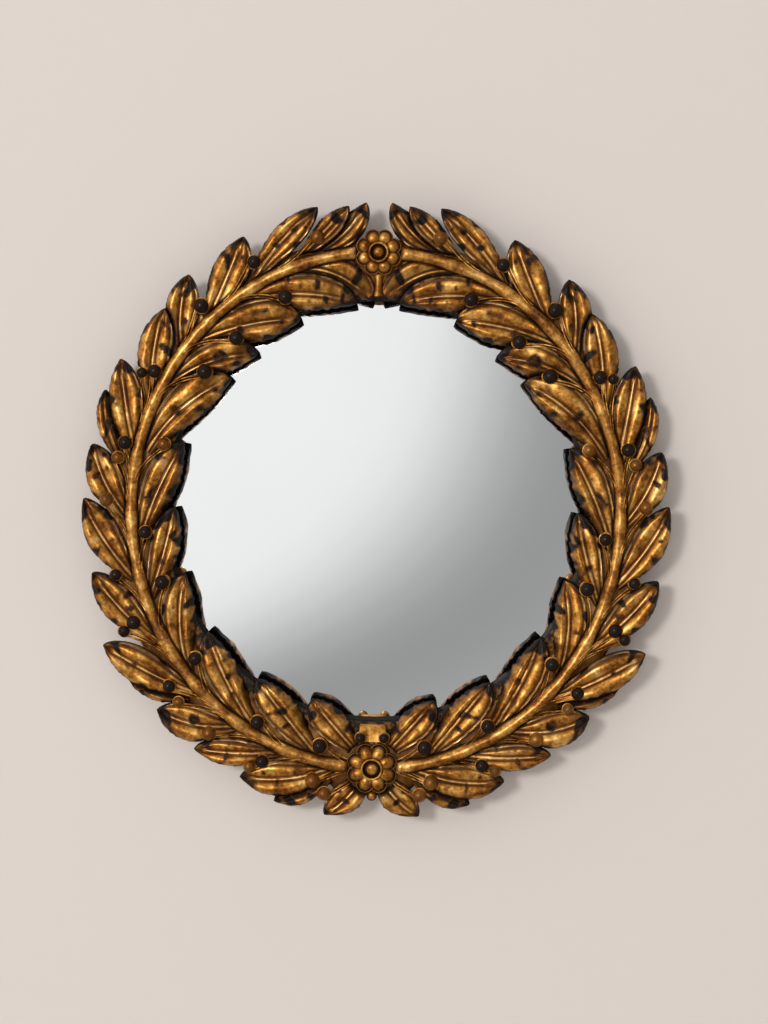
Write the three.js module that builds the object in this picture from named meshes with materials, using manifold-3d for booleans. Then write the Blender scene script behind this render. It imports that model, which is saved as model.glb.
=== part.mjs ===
// Convex wall mirror in a laurel wreath frame, about 400 mm high.
//
// Millimetres. The finished group has +Z up and faces -Y. Its origin is on the wall, level with
// the point of the hanging ring that bears on the wall hook. Everything is first laid out face
// on: x to the right, y up, z out of the wall, with the wreath's centre at the middle and the
// wall at z = 0.
import * as THREE from "three";
import { mergeVertices } from "three/addons/utils/BufferGeometryUtils.js";
import Module from "manifold-3d";

// ---- Driving dimensions ----

const GAP = 0.3; // between pieces that touch
const RUNNING_GAP = 0.35; // around what turns

// Convex glass
const GLASS_RADIUS = 143;
const GLASS_THICKNESS = 3;
const GLASS_CURVE_RADIUS = 450;
const GLASS_SEGMENTS = 36;
const GLASS_BANDS = 3;

// Carrier ring that holds the glass and carries the ornament
const LIP_OVERLAP = 6; // how far its lip reaches in over the glass
const LIP_THICKNESS = 4.5;
const RABBET_CLEARANCE = 0.8; // round the glass
const RING_WALL = 28.7; // from the rabbet to the outer edge in front
const RING_LEAN = 4.5; // the outer side leans in towards the wall
const LAND_WIDTH = 7.5; // of the rim that lies on the wall
const LAND_DEPTH = 3; // inside it the back is sunk for the turn buttons
const RING_SEGMENTS = 40;

// Backing board and the foam ring between it and the glass
const BOARD_THICKNESS = 3;
const FOAM_WIDTH = 5;
const FOAM_EDGE = 0.5; // thickness at the outer edge, squeezed by the glass

// Stem of the wreath, an oval
const STEM_SIDE_OFFSET = 20; // outside the sight edge at the sides
const STEM_END_OFFSET = 29; // and at the top and bottom
const STEM_HALF_WIDTH = 3.6;
const STEM_FLARE = 1.35; // widening where leaves fork off
const STEM_RISE = 11.5;
const STEM_DIP = 0.06; // share of the rise by which each stretch starts lower
const STEM_JOINT = 0.35; // between one sprig's stem and the next

// Leaves
const LEAF_RISE = 9.5;
const LEAF_STATIONS = 4;
const LEAF_TIP_HALF_WIDTH = 0.3;
const LEAF_BELLY = 0.84; // share of the width that swells and dies away again
const LEAF_FOOT = 0.34; // share of the width at the base, gone at the tip
const BELLY_SHIFT = 1.15; // over 1, the widest place is past the middle
const BELLY_SQUARENESS = 0.75; // under 1, the ends are fuller than a sine's
const LEAF_CAMBER = 0.15; // share of the rise that the leaf arches lengthways
const TIP_DROP = 0.42; // share of the rise lost at the tip

// Berries
const BERRY_LIFT = 1.4; // height of a berry's middle over the leaf's rise
const BERRY_CUP = 0.8; // radius of the cup under it, as a share of the berry's
const BERRY_SIDES = 6;
const BLOCK_SIDES = 8; // of the round cutters that keep neighbours clear

// Rosettes
const TOP_ROSETTE = { angle: 180, petals: 8, reach: 15.2, petal: 4.6, boss: 5.6 };
const BOTTOM_ROSETTE = { angle: 0, petals: 9, reach: 17.4, petal: 4.9, boss: 6.2 };
const ROSETTE_RISE = 12.5;
const ROSETTE_COLLAR = 1.4; // wall of the ring round the boss

// Turn buttons at the back
const BUTTON_COUNT = 4;
const BUTTON_FIRST_ANGLE = 45;
const BUTTON_INSET = 8; // of the pivot, from the step of the land
const BUTTON_REACH = 16; // towards the board
const BUTTON_TAIL = 5; // away from it
const BUTTON_WIDTH = 9;
const BUTTON_THICKNESS = 1.2;
const BUTTON_SCREW = { shank: 1.5, head: 3.2, headThickness: 0.9, length: 9 };

// Hanger at the top of the back: a strap with a ring that swings in its eye
const HANGER_INSET = 12.5; // of the pivot, from the ring's outer edge
const STRAP_WIDTH = 10;
const STRAP_LENGTH = 13.5;
const STRAP_THICKNESS = 1.0;
const POCKET_WIDTH = 25;
const POCKET_DEPTH = 5;
const POCKET_MARGIN = 6; // beyond the strap's lower end
const WIRE_RADIUS = 1.0;
const EYE_WALL = 0.7;
const RING_BAR_HALF = 8;
const RING_CORNER = 2.6; // bend from the bar into the bow
const RING_HEIGHT = 11; // from the bar up to the top of the bow, along the wire's middle
const WIRE_STEPS = 24;
const WIRE_BUTT = 0.4; // gap between the wire's two ends, inside the eye
const STRAP_SCREW = { shank: 1.4, head: 2.9, headThickness: 0.8, length: 7 };
const STRAP_SCREW_DROP = 9; // from the pivot down to the screw

// Laurel sprigs of one half of the wreath, from the bottom rosette up to the top one. fork is
// the angle up the wreath, from its lowest point, where the sprig leaves the stem. A leaf is
// [base angle, base offset, tip angle, tip offset, half width, bow, share of the full rise],
// with its offsets measured outwards from the sight edge of the glass.
const SPRIGS = [
  {
    fork: 0.5,
    leaves: [[1, 31, 8.8, 63.5, 10, -2.5, 0.95]],
  },
  {
    fork: 3,
    leaves: [[3, 21, 18, -8.5, 9.5, 0, 1]],
  },
  {
    fork: 8.5,
    leaves: [[9, 31, 26.3, 56, 11.5, -4.5, 1], [9, 39, 18.6, 62, 7.5, -2, 0.8],
      [13, 25, 34.5, -4, 10, 0, 1]],
  },
  {
    fork: 20.6,
    leaves: [[20.6, 30, 36.6, 56.5, 9, -2, 1], [28, 24, 53.5, -3, 10, -2.5, 1]],
  },
  {
    fork: 32.5,
    leaves: [[32.5, 29, 47, 54, 12, -4.5, 1]],
  },
  {
    fork: 44.5,
    leaves: [[44.5, 29, 63.1, 59, 11.5, -2, 1], [44, 35, 56.4, 55.5, 8, -2, 0.8],
      [48, 23, 71, -7.5, 10, -4.5, 1]],
  },
  {
    fork: 58.5,
    leaves: [[58.5, 27, 77, 50, 11, -2.5, 1], [68, 20, 90.5, -7.5, 9, 1.5, 1]],
  },
  {
    fork: 73.7,
    leaves: [[73.7, 24, 91.8, 52.5, 11.5, -2.5, 1], [82, 16, 109, -6, 10.5, -2.5, 1]],
  },
  {
    fork: 88,
    leaves: [[88, 22, 102.7, 50, 11.5, -3.5, 1]],
  },
  {
    fork: 101.5,
    leaves: [[101.5, 20, 120.2, 53.5, 11, -1, 1], [100.5, 29, 113.5, 53.5, 7, -3.5, 0.8],
      [104, 15, 132, -11, 12, -6, 1]],
  },
  {
    fork: 115,
    leaves: [[115, 21, 133.3, 50.5, 11, -3.5, 1], [121, 18, 142.4, -11, 10.5, -5.5, 1]],
  },
  {
    fork: 128.8,
    leaves: [[128.8, 22, 141.1, 56, 10.5, -3.5, 1], [133, 21, 158, -4.5, 12.5, -3.5, 1]],
  },
  {
    fork: 137.8,
    leaves: [[137.8, 25, 153.7, 58, 11.5, 0.5, 1], [143, 24, 174.2, -3, 9.5, -5, 1]],
  },
  {
    fork: 151,
    leaves: [[151, 30, 168.5, 61, 9, -2.5, 1], [156, 29, 177.8, -3, 6, -9, 1]],
  },
  {
    fork: 163,
    leaves: [[163, 33, 174.3, 59, 7, 0, 1], [165, 33, 177.6, 60.5, 8.5, 5, 0.9]],
  },
];

// Berries of one half, each [angle, offset, size]. A berry is one with the leaf under it.
const BERRIES = [
  [3, 9, 3.4], [12.4, 41.5, 5], [9.6, 48.5, 4.4], [12.6, 18.5, 4.8],
  [23.6, 40.5, 4.4], [25.6, 47, 3.9], [28.5, 19, 4.5], [36.1, 42.5, 4.8],
  [45.2, 40, 3.5], [49, 37.5, 4.3], [50.1, 13, 4.5], [64.6, 34.5, 4.8],
  [63.8, 42.5, 3.9], [71, 7.5, 4.8], [75.6, 35, 3.9], [84.2, 11.5, 4.2],
  [91.9, 36, 4.5], [107.1, 5.5, 4.2], [104.8, 29.5, 4.5], [101.2, 32, 3.9],
  [121.9, 30.5, 4.5], [120.2, 37, 3.5], [128.8, 4.5, 5], [139.2, 35.5, 5],
  [140.7, 5.5, 4.7], [153.5, 40.5, 4.5], [156.6, 12, 4.7], [167.4, 42.5, 4.5],
];
const STEM_END_ANGLE = 175;
const OVERLAP_REACH = 3; // how many sprigs down the wreath may overlap one

// Cross profiles of a ridge: [place from edge -1 to edge +1, share of its rise]
const LEAF_PROFILE = [[-1, 0.62], [-0.5, 1], [0, 0.8], [0.5, 1], [1, 0.62]];
const STEM_PROFILE = [[-1, 0.55], [-0.45, 1], [0.45, 1], [1, 0.55]];

// ---- Worked out from the driving dimensions ----

const rabbetRadius = GLASS_RADIUS + RABBET_CLEARANCE;
const sightRadius = GLASS_RADIUS - LIP_OVERLAP;
const ringRadius = rabbetRadius + RING_WALL;
const ringBackRadius = ringRadius - RING_LEAN;
const landStepRadius = ringBackRadius - LAND_WIDTH;
const buttonPivotRadius = landStepRadius - BUTTON_INSET;
const hangerPivotRadius = ringRadius - HANGER_INSET;
const pocketInnerRadius = hangerPivotRadius - STRAP_LENGTH + STRAP_WIDTH / 2 - POCKET_MARGIN;
const stemAcross = sightRadius + STEM_SIDE_OFFSET;
const stemAlong = sightRadius + STEM_END_OFFSET;
const boardBack = LAND_DEPTH;
const boardFront = boardBack + BOARD_THICKNESS;
const foamBack = boardFront + GAP;
// The glass rests on the foam's outer edge. This is the middle of its sphere.
const backCurveRadius = GLASS_CURVE_RADIUS - GLASS_THICKNESS;
const sphereHeight = (radius, reach) => Math.sqrt(radius * radius - reach * reach);
const sphereMiddle = foamBack + FOAM_EDGE + GAP - sphereHeight(backCurveRadius, GLASS_RADIUS);
const glassFrontAt = (reach) => sphereMiddle + sphereHeight(GLASS_CURVE_RADIUS, reach);
const glassBackAt = (reach) => sphereMiddle + sphereHeight(backCurveRadius, reach);
// The lip lies on the glass along the sight edge.
const rabbetFloor = glassFrontAt(sightRadius) + GAP;
const ringFront = rabbetFloor + LIP_THICKNESS;
const ornamentBed = ringFront + GAP;
const wireHeight = POCKET_DEPTH - GAP - EYE_WALL - RUNNING_GAP - WIRE_RADIUS;
const hookHeight = hangerPivotRadius + RING_HEIGHT - WIRE_RADIUS;

const { degToRad: radians, radToDeg: degrees } = THREE.MathUtils;
const stemJointAngle = degrees(STEM_JOINT / stemAcross);
const wasm = await Module();
wasm.setup();

// ---- Solids ----

// A closed three.js geometry as a solid that can be joined and cut.
function solidOf(geometry) {
  const bare = geometry.clone();
  bare.deleteAttribute("normal");
  bare.deleteAttribute("uv");
  const merged = mergeVertices(bare, 1e-4);
  return new wasm.Manifold(
    new wasm.Mesh({
      numProp: 3,
      vertProperties: merged.getAttribute("position").array,
      triVerts: new Uint32Array(merged.index.array),
    }),
  );
}

// The solid back as a geometry; side -1 mirrors it to the left half of the wreath.
function geometryOf(solid, side = 1) {
  const mesh = solid.getMesh();
  const places = new Float32Array((mesh.vertProperties.length / mesh.numProp) * 3);
  for (let i = 0; i < places.length / 3; i += 1) {
    places[i * 3] = mesh.vertProperties[i * mesh.numProp] * side;
    places[i * 3 + 1] = mesh.vertProperties[i * mesh.numProp + 1];
    places[i * 3 + 2] = mesh.vertProperties[i * mesh.numProp + 2];
  }
  const corners = new Uint32Array(mesh.triVerts);
  if (side < 0) {
    for (let i = 0; i < corners.length; i += 3) {
      [corners[i + 1], corners[i + 2]] = [corners[i + 2], corners[i + 1]];
    }
  }
  const geometry = new THREE.BufferGeometry();
  geometry.setAttribute("position", new THREE.BufferAttribute(places, 3));
  geometry.setIndex(new THREE.BufferAttribute(corners, 1));
  geometry.computeVertexNormals();
  return geometry;
}

const joined = (solids) => solids.reduce((all, one) => all.add(one));

// What a cut leaves is one piece: the largest.
function largestOf(solid) {
  return solid.decompose().reduce((most, one) => (one.volume() > most.volume() ? one : most));
}

// A point of the right half of the wreath, face on, from its angle up the wreath and its
// offset from the sight edge.
function onWreath(angle, offset) {
  const radius = sightRadius + offset;
  return new THREE.Vector2(
    radius * Math.sin(radians(angle)),
    -radius * Math.cos(radians(angle)),
  );
}

function onStem(angle) {
  const across = Math.sin(radians(angle)) / stemAcross;
  const along = Math.cos(radians(angle)) / stemAlong;
  return onWreath(angle, 1 / Math.hypot(across, along) - sightRadius);
}

// A lathe turned about the z axis; profile points are [radius, z], wound so that it faces out.
function turned(profile, segments) {
  const points = profile.map(([reach, height]) => new THREE.Vector2(reach, height));
  return new THREE.LatheGeometry(points, segments).rotateX(Math.PI / 2);
}

function extruded(shape, depth, curveSegments = 3) {
  return new THREE.ExtrudeGeometry(shape, { depth, bevelEnabled: false, curveSegments });
}

function rod(radius, from, to, sides = 12) {
  return new THREE.CylinderGeometry(radius, radius, to - from, sides)
    .rotateX(Math.PI / 2)
    .translate(0, 0, (from + to) / 2);
}

// A raised form along a line: stations hold its middle, its half width and its rise, and
// profile shapes it across. Its underside is flat at height bed.
function ridge(stations, profile, bed) {
  const across = profile.length;
  const row = across + 2;
  const places = [];
  stations.forEach(({ middle, half, rise }, i) => {
    const before = stations[Math.max(i - 1, 0)].middle;
    const after = stations[Math.min(i + 1, stations.length - 1)].middle;
    const along = after.clone().sub(before).normalize();
    const sideways = new THREE.Vector2(-along.y, along.x);
    const put = (place, height) =>
      places.push(
        middle.x + sideways.x * half * place,
        middle.y + sideways.y * half * place,
        height,
      );
    profile.forEach(([place, share]) => put(place, bed + rise * share));
    put(1, bed);
    put(-1, bed);
  });
  const corners = [];
  for (let i = 0; i + 1 < stations.length; i += 1) {
    for (let j = 0; j < row; j += 1) {
      const here = i * row + j;
      const beside = i * row + ((j + 1) % row);
      corners.push(here, here + row, beside, beside, here + row, beside + row);
    }
  }
  const last = (stations.length - 1) * row;
  for (let j = 1; j + 1 < row; j += 1) {
    corners.push(0, j, j + 1, last, last + j + 1, last + j);
  }
  const geometry = new THREE.BufferGeometry();
  geometry.setAttribute("position", new THREE.Float32BufferAttribute(places, 3));
  geometry.setIndex(corners);
  return geometry;
}

// ---- Leaves, stem and berries ----

// Middle, half width and rise along a leaf, which tapers to both ends and is widest past its
// middle.
function leafStations([baseAngle, baseOffset, tipAngle, tipOffset, half, bow, share], grow = 0) {
  const base = onWreath(baseAngle, baseOffset);
  const reach = onWreath(tipAngle, tipOffset).sub(base);
  const length = reach.length();
  const sideways = new THREE.Vector2(-reach.y, reach.x).divideScalar(length);
  const stations = [];
  for (let i = 0; i <= LEAF_STATIONS; i += 1) {
    const t = i / LEAF_STATIONS;
    const run = (t * (length + 2 * grow) - grow) / length;
    const fullness = Math.sin(Math.PI * Math.min(1, t ** BELLY_SHIFT)) ** BELLY_SQUARENESS;
    const width = half * (LEAF_BELLY * fullness + LEAF_FOOT * (1 - t));
    const arch = 1 - LEAF_CAMBER * (1 - Math.sin(Math.PI * t));
    stations.push({
      middle: base
        .clone()
        .addScaledVector(reach, run)
        .addScaledVector(sideways, bow * 4 * t * (1 - t)),
      half: Math.max(width, LEAF_TIP_HALF_WIDTH) + grow,
      rise: LEAF_RISE * share * (1 - TIP_DROP * t * t) * arch,
    });
  }
  return stations;
}

function stemStations(from, to, grow = 0) {
  const steps = 2;
  const stations = [];
  for (let i = 0; i <= steps; i += 1) {
    const t = i / steps;
    const angle = THREE.MathUtils.lerp(from, to, t);
    stations.push({
      middle: onStem(angle),
      half: STEM_HALF_WIDTH * (1 + (STEM_FLARE - 1) * t * t) + grow,
      rise: STEM_RISE * (1 - STEM_DIP * (1 - t)),
    });
  }
  return stations;
}

// A full-height outline of a ridge, for trimming what lies beside it.
const BLOCK_PROFILE = [[-1, 1], [1, 1]];
function blockOf(stations) {
  const tall = stations.map((station) => ({ ...station, rise: 2 * ringFront + 2 * LEAF_RISE }));
  return solidOf(ridge(tall, BLOCK_PROFILE, -ringFront));
}

// A berry in its cup, which stands on the bed.
function berrySolid([angle, offset, size]) {
  const middle = onWreath(angle, offset);
  const height = ornamentBed + LEAF_RISE + BERRY_LIFT - size / 2;
  const shoulder = size * Math.SQRT1_2;
  const profile = [
    [0, ornamentBed],
    [BERRY_CUP * size, ornamentBed],
    [size, height],
    [shoulder, height + shoulder],
    [0, height + size],
  ];
  return solidOf(turned(profile, BERRY_SIDES).translate(middle.x, middle.y, 0));
}

// A round full-height cutter that clears a form of this radius by the gap.
function roundBlock(middle, radius) {
  const corner = (radius + GAP) / Math.cos(Math.PI / BLOCK_SIDES);
  const block = rod(corner, -ringFront, 4 * ringFront, BLOCK_SIDES);
  return solidOf(block.translate(middle.x, middle.y, 0));
}

function berryBlock([angle, offset, size]) {
  return roundBlock(onWreath(angle, offset), size);
}

// ---- Rosettes: round petals about a boss in a collar ----

function rosetteSolid({ angle, petals, reach, petal, boss }) {
  const middle = onStem(angle);
  const parts = [
    solidOf(
      turned(
        [
          [0, ornamentBed],
          [reach - petal, ornamentBed],
          [reach - petal, ornamentBed + 0.62 * ROSETTE_RISE],
          [boss + ROSETTE_COLLAR, ornamentBed + 0.7 * ROSETTE_RISE],
          [boss + ROSETTE_COLLAR, ornamentBed + 0.92 * ROSETTE_RISE],
          [boss, ornamentBed + 0.92 * ROSETTE_RISE],
          [0.75 * boss, ornamentBed + 0.76 * ROSETTE_RISE],
          [0.4 * boss, ornamentBed + ROSETTE_RISE],
          [0, ornamentBed + 1.06 * ROSETTE_RISE],
        ],
        12,
      ),
    ),
  ];
  for (let i = 0; i < petals; i += 1) {
    const turn = ((i + 0.5) / petals) * 2 * Math.PI;
    const petalShape = [
      [0, ornamentBed],
      [petal, ornamentBed],
      [petal, ornamentBed + 0.58 * ROSETTE_RISE],
      [0.6 * petal, ornamentBed + 0.76 * ROSETTE_RISE],
      [0, ornamentBed + 0.8 * ROSETTE_RISE],
    ];
    parts.push(
      solidOf(
        turned(petalShape, 6).translate(
          (reach - petal) * Math.cos(turn),
          (reach - petal) * Math.sin(turn),
          0,
        ),
      ),
    );
  }
  return joined(parts).translate([middle.x, middle.y, 0]);
}

function rosetteBlock({ angle, reach }) {
  return roundBlock(onStem(angle), reach);
}

// ---- Sprigs ----

// Each sprig is its stretch of stem, its leaves and its berries in one piece. A leaf tip lies
// over the foot of the next sprig up the wreath, so the next sprig is trimmed to its outline.
function sprigSolids() {
  const rosettes = rosetteBlock(TOP_ROSETTE).add(rosetteBlock(BOTTOM_ROSETTE));
  const stems = SPRIGS.map((sprig, i) => {
    const to = i + 1 < SPRIGS.length ? SPRIGS[i + 1].fork : STEM_END_ANGLE;
    return [sprig.fork + stemJointAngle, to];
  });
  const outlines = SPRIGS.map(({ leaves }, i) =>
    joined([
      blockOf(stemStations(...stems[i], GAP)),
      ...leaves.map((leaf) => blockOf(leafStations(leaf, GAP))),
    ]),
  );
  const bodies = SPRIGS.map(({ leaves }, i) => {
    const body = joined([
      solidOf(ridge(stemStations(...stems[i]), STEM_PROFILE, ornamentBed)),
      ...leaves.map((leaf) => solidOf(ridge(leafStations(leaf), LEAF_PROFILE, ornamentBed))),
    ]);
    const trimmed = outlines
      .slice(Math.max(0, i - OVERLAP_REACH), i)
      .reduce((rest, outline) => rest.subtract(outline), body.subtract(rosettes));
    return largestOf(trimmed);
  });
  BERRIES.forEach((berry) => {
    const solid = berrySolid(berry);
    const block = berryBlock(berry);
    const shared = bodies.map((body) => body.intersect(solid).volume());
    const owner = shared.indexOf(Math.max(...shared));
    bodies.forEach((body, i) => {
      if (i === owner) bodies[i] = body.add(solid);
      else if (shared[i] > 0 || body.intersect(block).volume() > 0) {
        bodies[i] = largestOf(body.subtract(block));
      }
    });
  });
  return bodies;
}

// ---- Carrier ring, glass, foam and board ----

function carrierRing() {
  let ring = solidOf(
    turned(
      [
        [rabbetRadius, LAND_DEPTH],
        [landStepRadius, LAND_DEPTH],
        [landStepRadius, 0],
        [ringBackRadius, 0],
        [ringRadius, ringFront],
        [sightRadius, ringFront],
        [sightRadius, rabbetFloor],
        [rabbetRadius, rabbetFloor],
        [rabbetRadius, LAND_DEPTH],
      ],
      RING_SEGMENTS,
    ),
  );
  const pocketLength = ringRadius - pocketInnerRadius;
  const pocket = new THREE.BoxGeometry(POCKET_WIDTH, 2 * pocketLength, 2 * POCKET_DEPTH);
  ring = ring.subtract(solidOf(pocket.translate(0, pocketInnerRadius + pocketLength, 0)));
  buttonAngles().forEach((turn) => {
    const hole = rod(BUTTON_SCREW.shank + GAP, 0, BUTTON_SCREW.length + GAP, 8)
      .translate(buttonPivotRadius, 0, 0)
      .rotateZ(turn);
    ring = ring.subtract(solidOf(hole));
  });
  const strapHole = rod(STRAP_SCREW.shank + GAP, 0, POCKET_DEPTH + STRAP_SCREW.length, 8).translate(
    0,
    hangerPivotRadius - STRAP_SCREW_DROP,
    0,
  );
  return ring.subtract(solidOf(strapHole));
}

function convexGlass() {
  const front = [];
  const back = [];
  for (let i = 0; i <= GLASS_BANDS; i += 1) {
    const reach = (GLASS_RADIUS * i) / GLASS_BANDS;
    front.unshift([reach, glassFrontAt(reach)]);
    back.push([reach, glassBackAt(reach)]);
  }
  return turned([...back, ...front], GLASS_SEGMENTS);
}

function foamRing() {
  const inner = GLASS_RADIUS - FOAM_WIDTH;
  return turned(
    [
      [inner, foamBack],
      [GLASS_RADIUS, foamBack],
      [GLASS_RADIUS, glassBackAt(GLASS_RADIUS) - GAP],
      [inner, glassBackAt(inner) - 2 * GAP],
      [inner, foamBack],
    ],
    GLASS_SEGMENTS,
  );
}

function backingBoard() {
  return turned(
    [
      [0, boardBack],
      [GLASS_RADIUS, boardBack],
      [GLASS_RADIUS, boardFront],
      [0, boardFront],
    ],
    GLASS_SEGMENTS,
  );
}

// ---- Turn buttons and screws ----

function buttonAngles() {
  const angles = [];
  for (let i = 0; i < BUTTON_COUNT; i += 1) {
    angles.push(radians(BUTTON_FIRST_ANGLE + (360 / BUTTON_COUNT) * i));
  }
  return angles;
}

// A flat tab with round ends and a screw hole, its pivot at the origin, pointing to -x.
function buttonShape() {
  const half = BUTTON_WIDTH / 2;
  const shape = new THREE.Shape();
  shape.moveTo(BUTTON_TAIL - half, -half);
  shape.absarc(BUTTON_TAIL - half, 0, half, -Math.PI / 2, Math.PI / 2, false);
  shape.lineTo(half - BUTTON_REACH, half);
  shape.absarc(half - BUTTON_REACH, 0, half, Math.PI / 2, (3 * Math.PI) / 2, false);
  shape.lineTo(BUTTON_TAIL - half, -half);
  const hole = new THREE.Path();
  hole.absarc(0, 0, BUTTON_SCREW.shank + RUNNING_GAP, 0, 2 * Math.PI, true);
  shape.holes.push(hole);
  return shape;
}

// A round-headed screw driven forwards from its seat: shank from there to its length.
function screwGeometry({ shank, head, headThickness, length }, seat) {
  return turned(
    [
      [0, seat - headThickness],
      [0.7 * head, seat - headThickness],
      [head, seat - 0.4 * headThickness],
      [head, seat],
      [shank, seat],
      [shank, length - shank],
      [0, length],
    ],
    8,
  );
}

// ---- Hanger ----

function strapSolid() {
  const front = POCKET_DEPTH - GAP;
  const eyeRadius = WIRE_RADIUS + RUNNING_GAP + EYE_WALL;
  const plate = new THREE.Shape();
  const half = STRAP_WIDTH / 2;
  plate.moveTo(half, 0);
  plate.lineTo(half, half - STRAP_LENGTH);
  plate.absarc(0, half - STRAP_LENGTH, half, 0, -Math.PI, true);
  plate.lineTo(-half, 0);
  plate.lineTo(half, 0);
  const eye = new THREE.CylinderGeometry(eyeRadius, eyeRadius, STRAP_WIDTH, 12).rotateZ(Math.PI / 2);
  const bore = new THREE.CylinderGeometry(
    WIRE_RADIUS + RUNNING_GAP,
    WIRE_RADIUS + RUNNING_GAP,
    2 * STRAP_WIDTH,
    10,
  ).rotateZ(Math.PI / 2);
  const screwHole = rod(STRAP_SCREW.shank + GAP, 0, 2 * POCKET_DEPTH, 10);
  return solidOf(extruded(plate, STRAP_THICKNESS).translate(0, 0, front - STRAP_THICKNESS))
    .add(solidOf(eye.translate(0, 0, wireHeight)))
    .subtract(solidOf(bore.translate(0, 0, wireHeight)))
    .subtract(solidOf(screwHole.translate(0, -STRAP_SCREW_DROP, 0)))
    .translate([0, hangerPivotRadius, 0]);
}

// The wire's middle: a straight bar through the eye, where its ends butt, and a bow above it.
class HangerWirePath extends THREE.Curve {
  getPoint(t, target = new THREE.Vector3()) {
    const at = (x, y) => new THREE.Vector3(x, y, 0);
    const wide = RING_BAR_HALF;
    const low = RING_CORNER;
    const high = (4 * RING_HEIGHT - low) / 3; // of the bow's handles, so that it tops out right
    const loop = new THREE.CurvePath();
    loop.add(new THREE.LineCurve3(at(WIRE_BUTT / 2, 0), at(wide - low, 0)));
    loop.add(new THREE.QuadraticBezierCurve3(at(wide - low, 0), at(wide, 0), at(wide, low)));
    loop.add(
      new THREE.CubicBezierCurve3(at(wide, low), at(wide, high), at(-wide, high), at(-wide, low)),
    );
    loop.add(new THREE.QuadraticBezierCurve3(at(-wide, low), at(-wide, 0), at(low - wide, 0)));
    loop.add(new THREE.LineCurve3(at(low - wide, 0), at(-WIRE_BUTT / 2, 0)));
    return target.copy(loop.getPoint(t));
  }
}

function hangerRing() {
  const section = new THREE.Shape();
  section.absarc(0, 0, WIRE_RADIUS, 0, 2 * Math.PI, false);
  return new THREE.ExtrudeGeometry(section, {
    steps: WIRE_STEPS,
    curveSegments: 3,
    bevelEnabled: false,
    extrudePath: new HangerWirePath(),
  }).translate(0, hangerPivotRadius, wireHeight);
}

// ---- Assembly ----

const gilt = { color: 0xa8741f, roughness: 0.42, metalness: 0.75 };
const blackPaint = { color: 0x17120d, roughness: 0.6, metalness: 0 };
const mirrorGlass = { color: 0xdfe3e6, roughness: 0.03, metalness: 1 };
const greyFoam = { color: 0x3a3a3c, roughness: 0.95, metalness: 0 };
const brownBoard = { color: 0x8a6748, roughness: 0.85, metalness: 0 };
const steel = { color: 0xb9bbbd, roughness: 0.35, metalness: 1 };
const brass = { color: 0xb48a44, roughness: 0.35, metalness: 1 };

const face = new THREE.Group();
function place(name, geometry, finish) {
  const mesh = new THREE.Mesh(geometry, new THREE.MeshStandardMaterial(finish));
  mesh.name = name;
  face.add(mesh);
  return mesh;
}

place("carrier_ring", geometryOf(carrierRing()), blackPaint);
place("convex_glass", convexGlass(), mirrorGlass);
place("foam_ring", foamRing(), greyFoam);
place("backing_board", backingBoard(), brownBoard);

place("rosette_top", geometryOf(rosetteSolid(TOP_ROSETTE)), gilt);
place("rosette_bottom", geometryOf(rosetteSolid(BOTTOM_ROSETTE)), gilt);
sprigSolids().forEach((solid, i) => {
  const number = String(i + 1).padStart(2, "0");
  place(`sprig_left_${number}`, geometryOf(solid, -1), gilt);
  place(`sprig_right_${number}`, geometryOf(solid), gilt);
});

buttonAngles().forEach((turn, i) => {
  const pivot = new THREE.Group();
  pivot.rotation.z = turn;
  face.add(pivot);
  const buttonFront = LAND_DEPTH - GAP;
  const button = place(
    `turn_button_${i + 1}`,
    extruded(buttonShape(), BUTTON_THICKNESS).translate(0, 0, buttonFront - BUTTON_THICKNESS),
    brass,
  );
  const screw = place(
    `button_screw_${i + 1}`,
    screwGeometry(BUTTON_SCREW, buttonFront - BUTTON_THICKNESS - GAP),
    steel,
  );
  [button, screw].forEach((mesh) => {
    pivot.add(mesh);
    mesh.position.x = buttonPivotRadius;
  });
});

place("hanger_strap", geometryOf(strapSolid()), steel);
place("hanger_ring", hangerRing(), steel);
const strapScrew = place(
  "hanger_screw",
  screwGeometry(STRAP_SCREW, POCKET_DEPTH - GAP - STRAP_THICKNESS - GAP),
  steel,
);
strapScrew.position.y = hangerPivotRadius - STRAP_SCREW_DROP;

// Stand it upright, facing -Y, with the hook's bearing point at the origin.
face.position.z = -hookHeight;
face.rotation.x = Math.PI / 2;
const group = new THREE.Group();
group.add(face);

export default group;
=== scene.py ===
from math import cos, degrees, pi, radians, sin, sqrt

import bmesh
import bpy
import numpy as np
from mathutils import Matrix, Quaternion, Vector
from mathutils.bvhtree import BVHTree


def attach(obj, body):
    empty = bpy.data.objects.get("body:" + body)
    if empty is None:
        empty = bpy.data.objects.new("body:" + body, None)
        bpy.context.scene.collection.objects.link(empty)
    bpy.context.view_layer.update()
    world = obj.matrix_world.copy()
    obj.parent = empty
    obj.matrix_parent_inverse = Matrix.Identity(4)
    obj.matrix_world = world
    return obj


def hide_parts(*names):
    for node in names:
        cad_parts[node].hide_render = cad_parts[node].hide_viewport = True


# Looks of a convex mirror in an antique-gold laurel wreath. Shapes are laid out face on, in
# millimetres (x right, y up, z out of the wall, the wreath's centre at the middle), and then
# placed in the CAD frame in metres. Angles run up the wreath from its lowest point.

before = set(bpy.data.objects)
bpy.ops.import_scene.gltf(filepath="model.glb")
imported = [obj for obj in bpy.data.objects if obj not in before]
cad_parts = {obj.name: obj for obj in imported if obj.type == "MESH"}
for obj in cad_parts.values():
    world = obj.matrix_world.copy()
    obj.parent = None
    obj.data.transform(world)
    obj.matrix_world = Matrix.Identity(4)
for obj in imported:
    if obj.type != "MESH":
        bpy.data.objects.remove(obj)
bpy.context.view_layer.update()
rng = np.random.default_rng(7)

# ---- Sizes shared with the part's source, in mm ----

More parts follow.
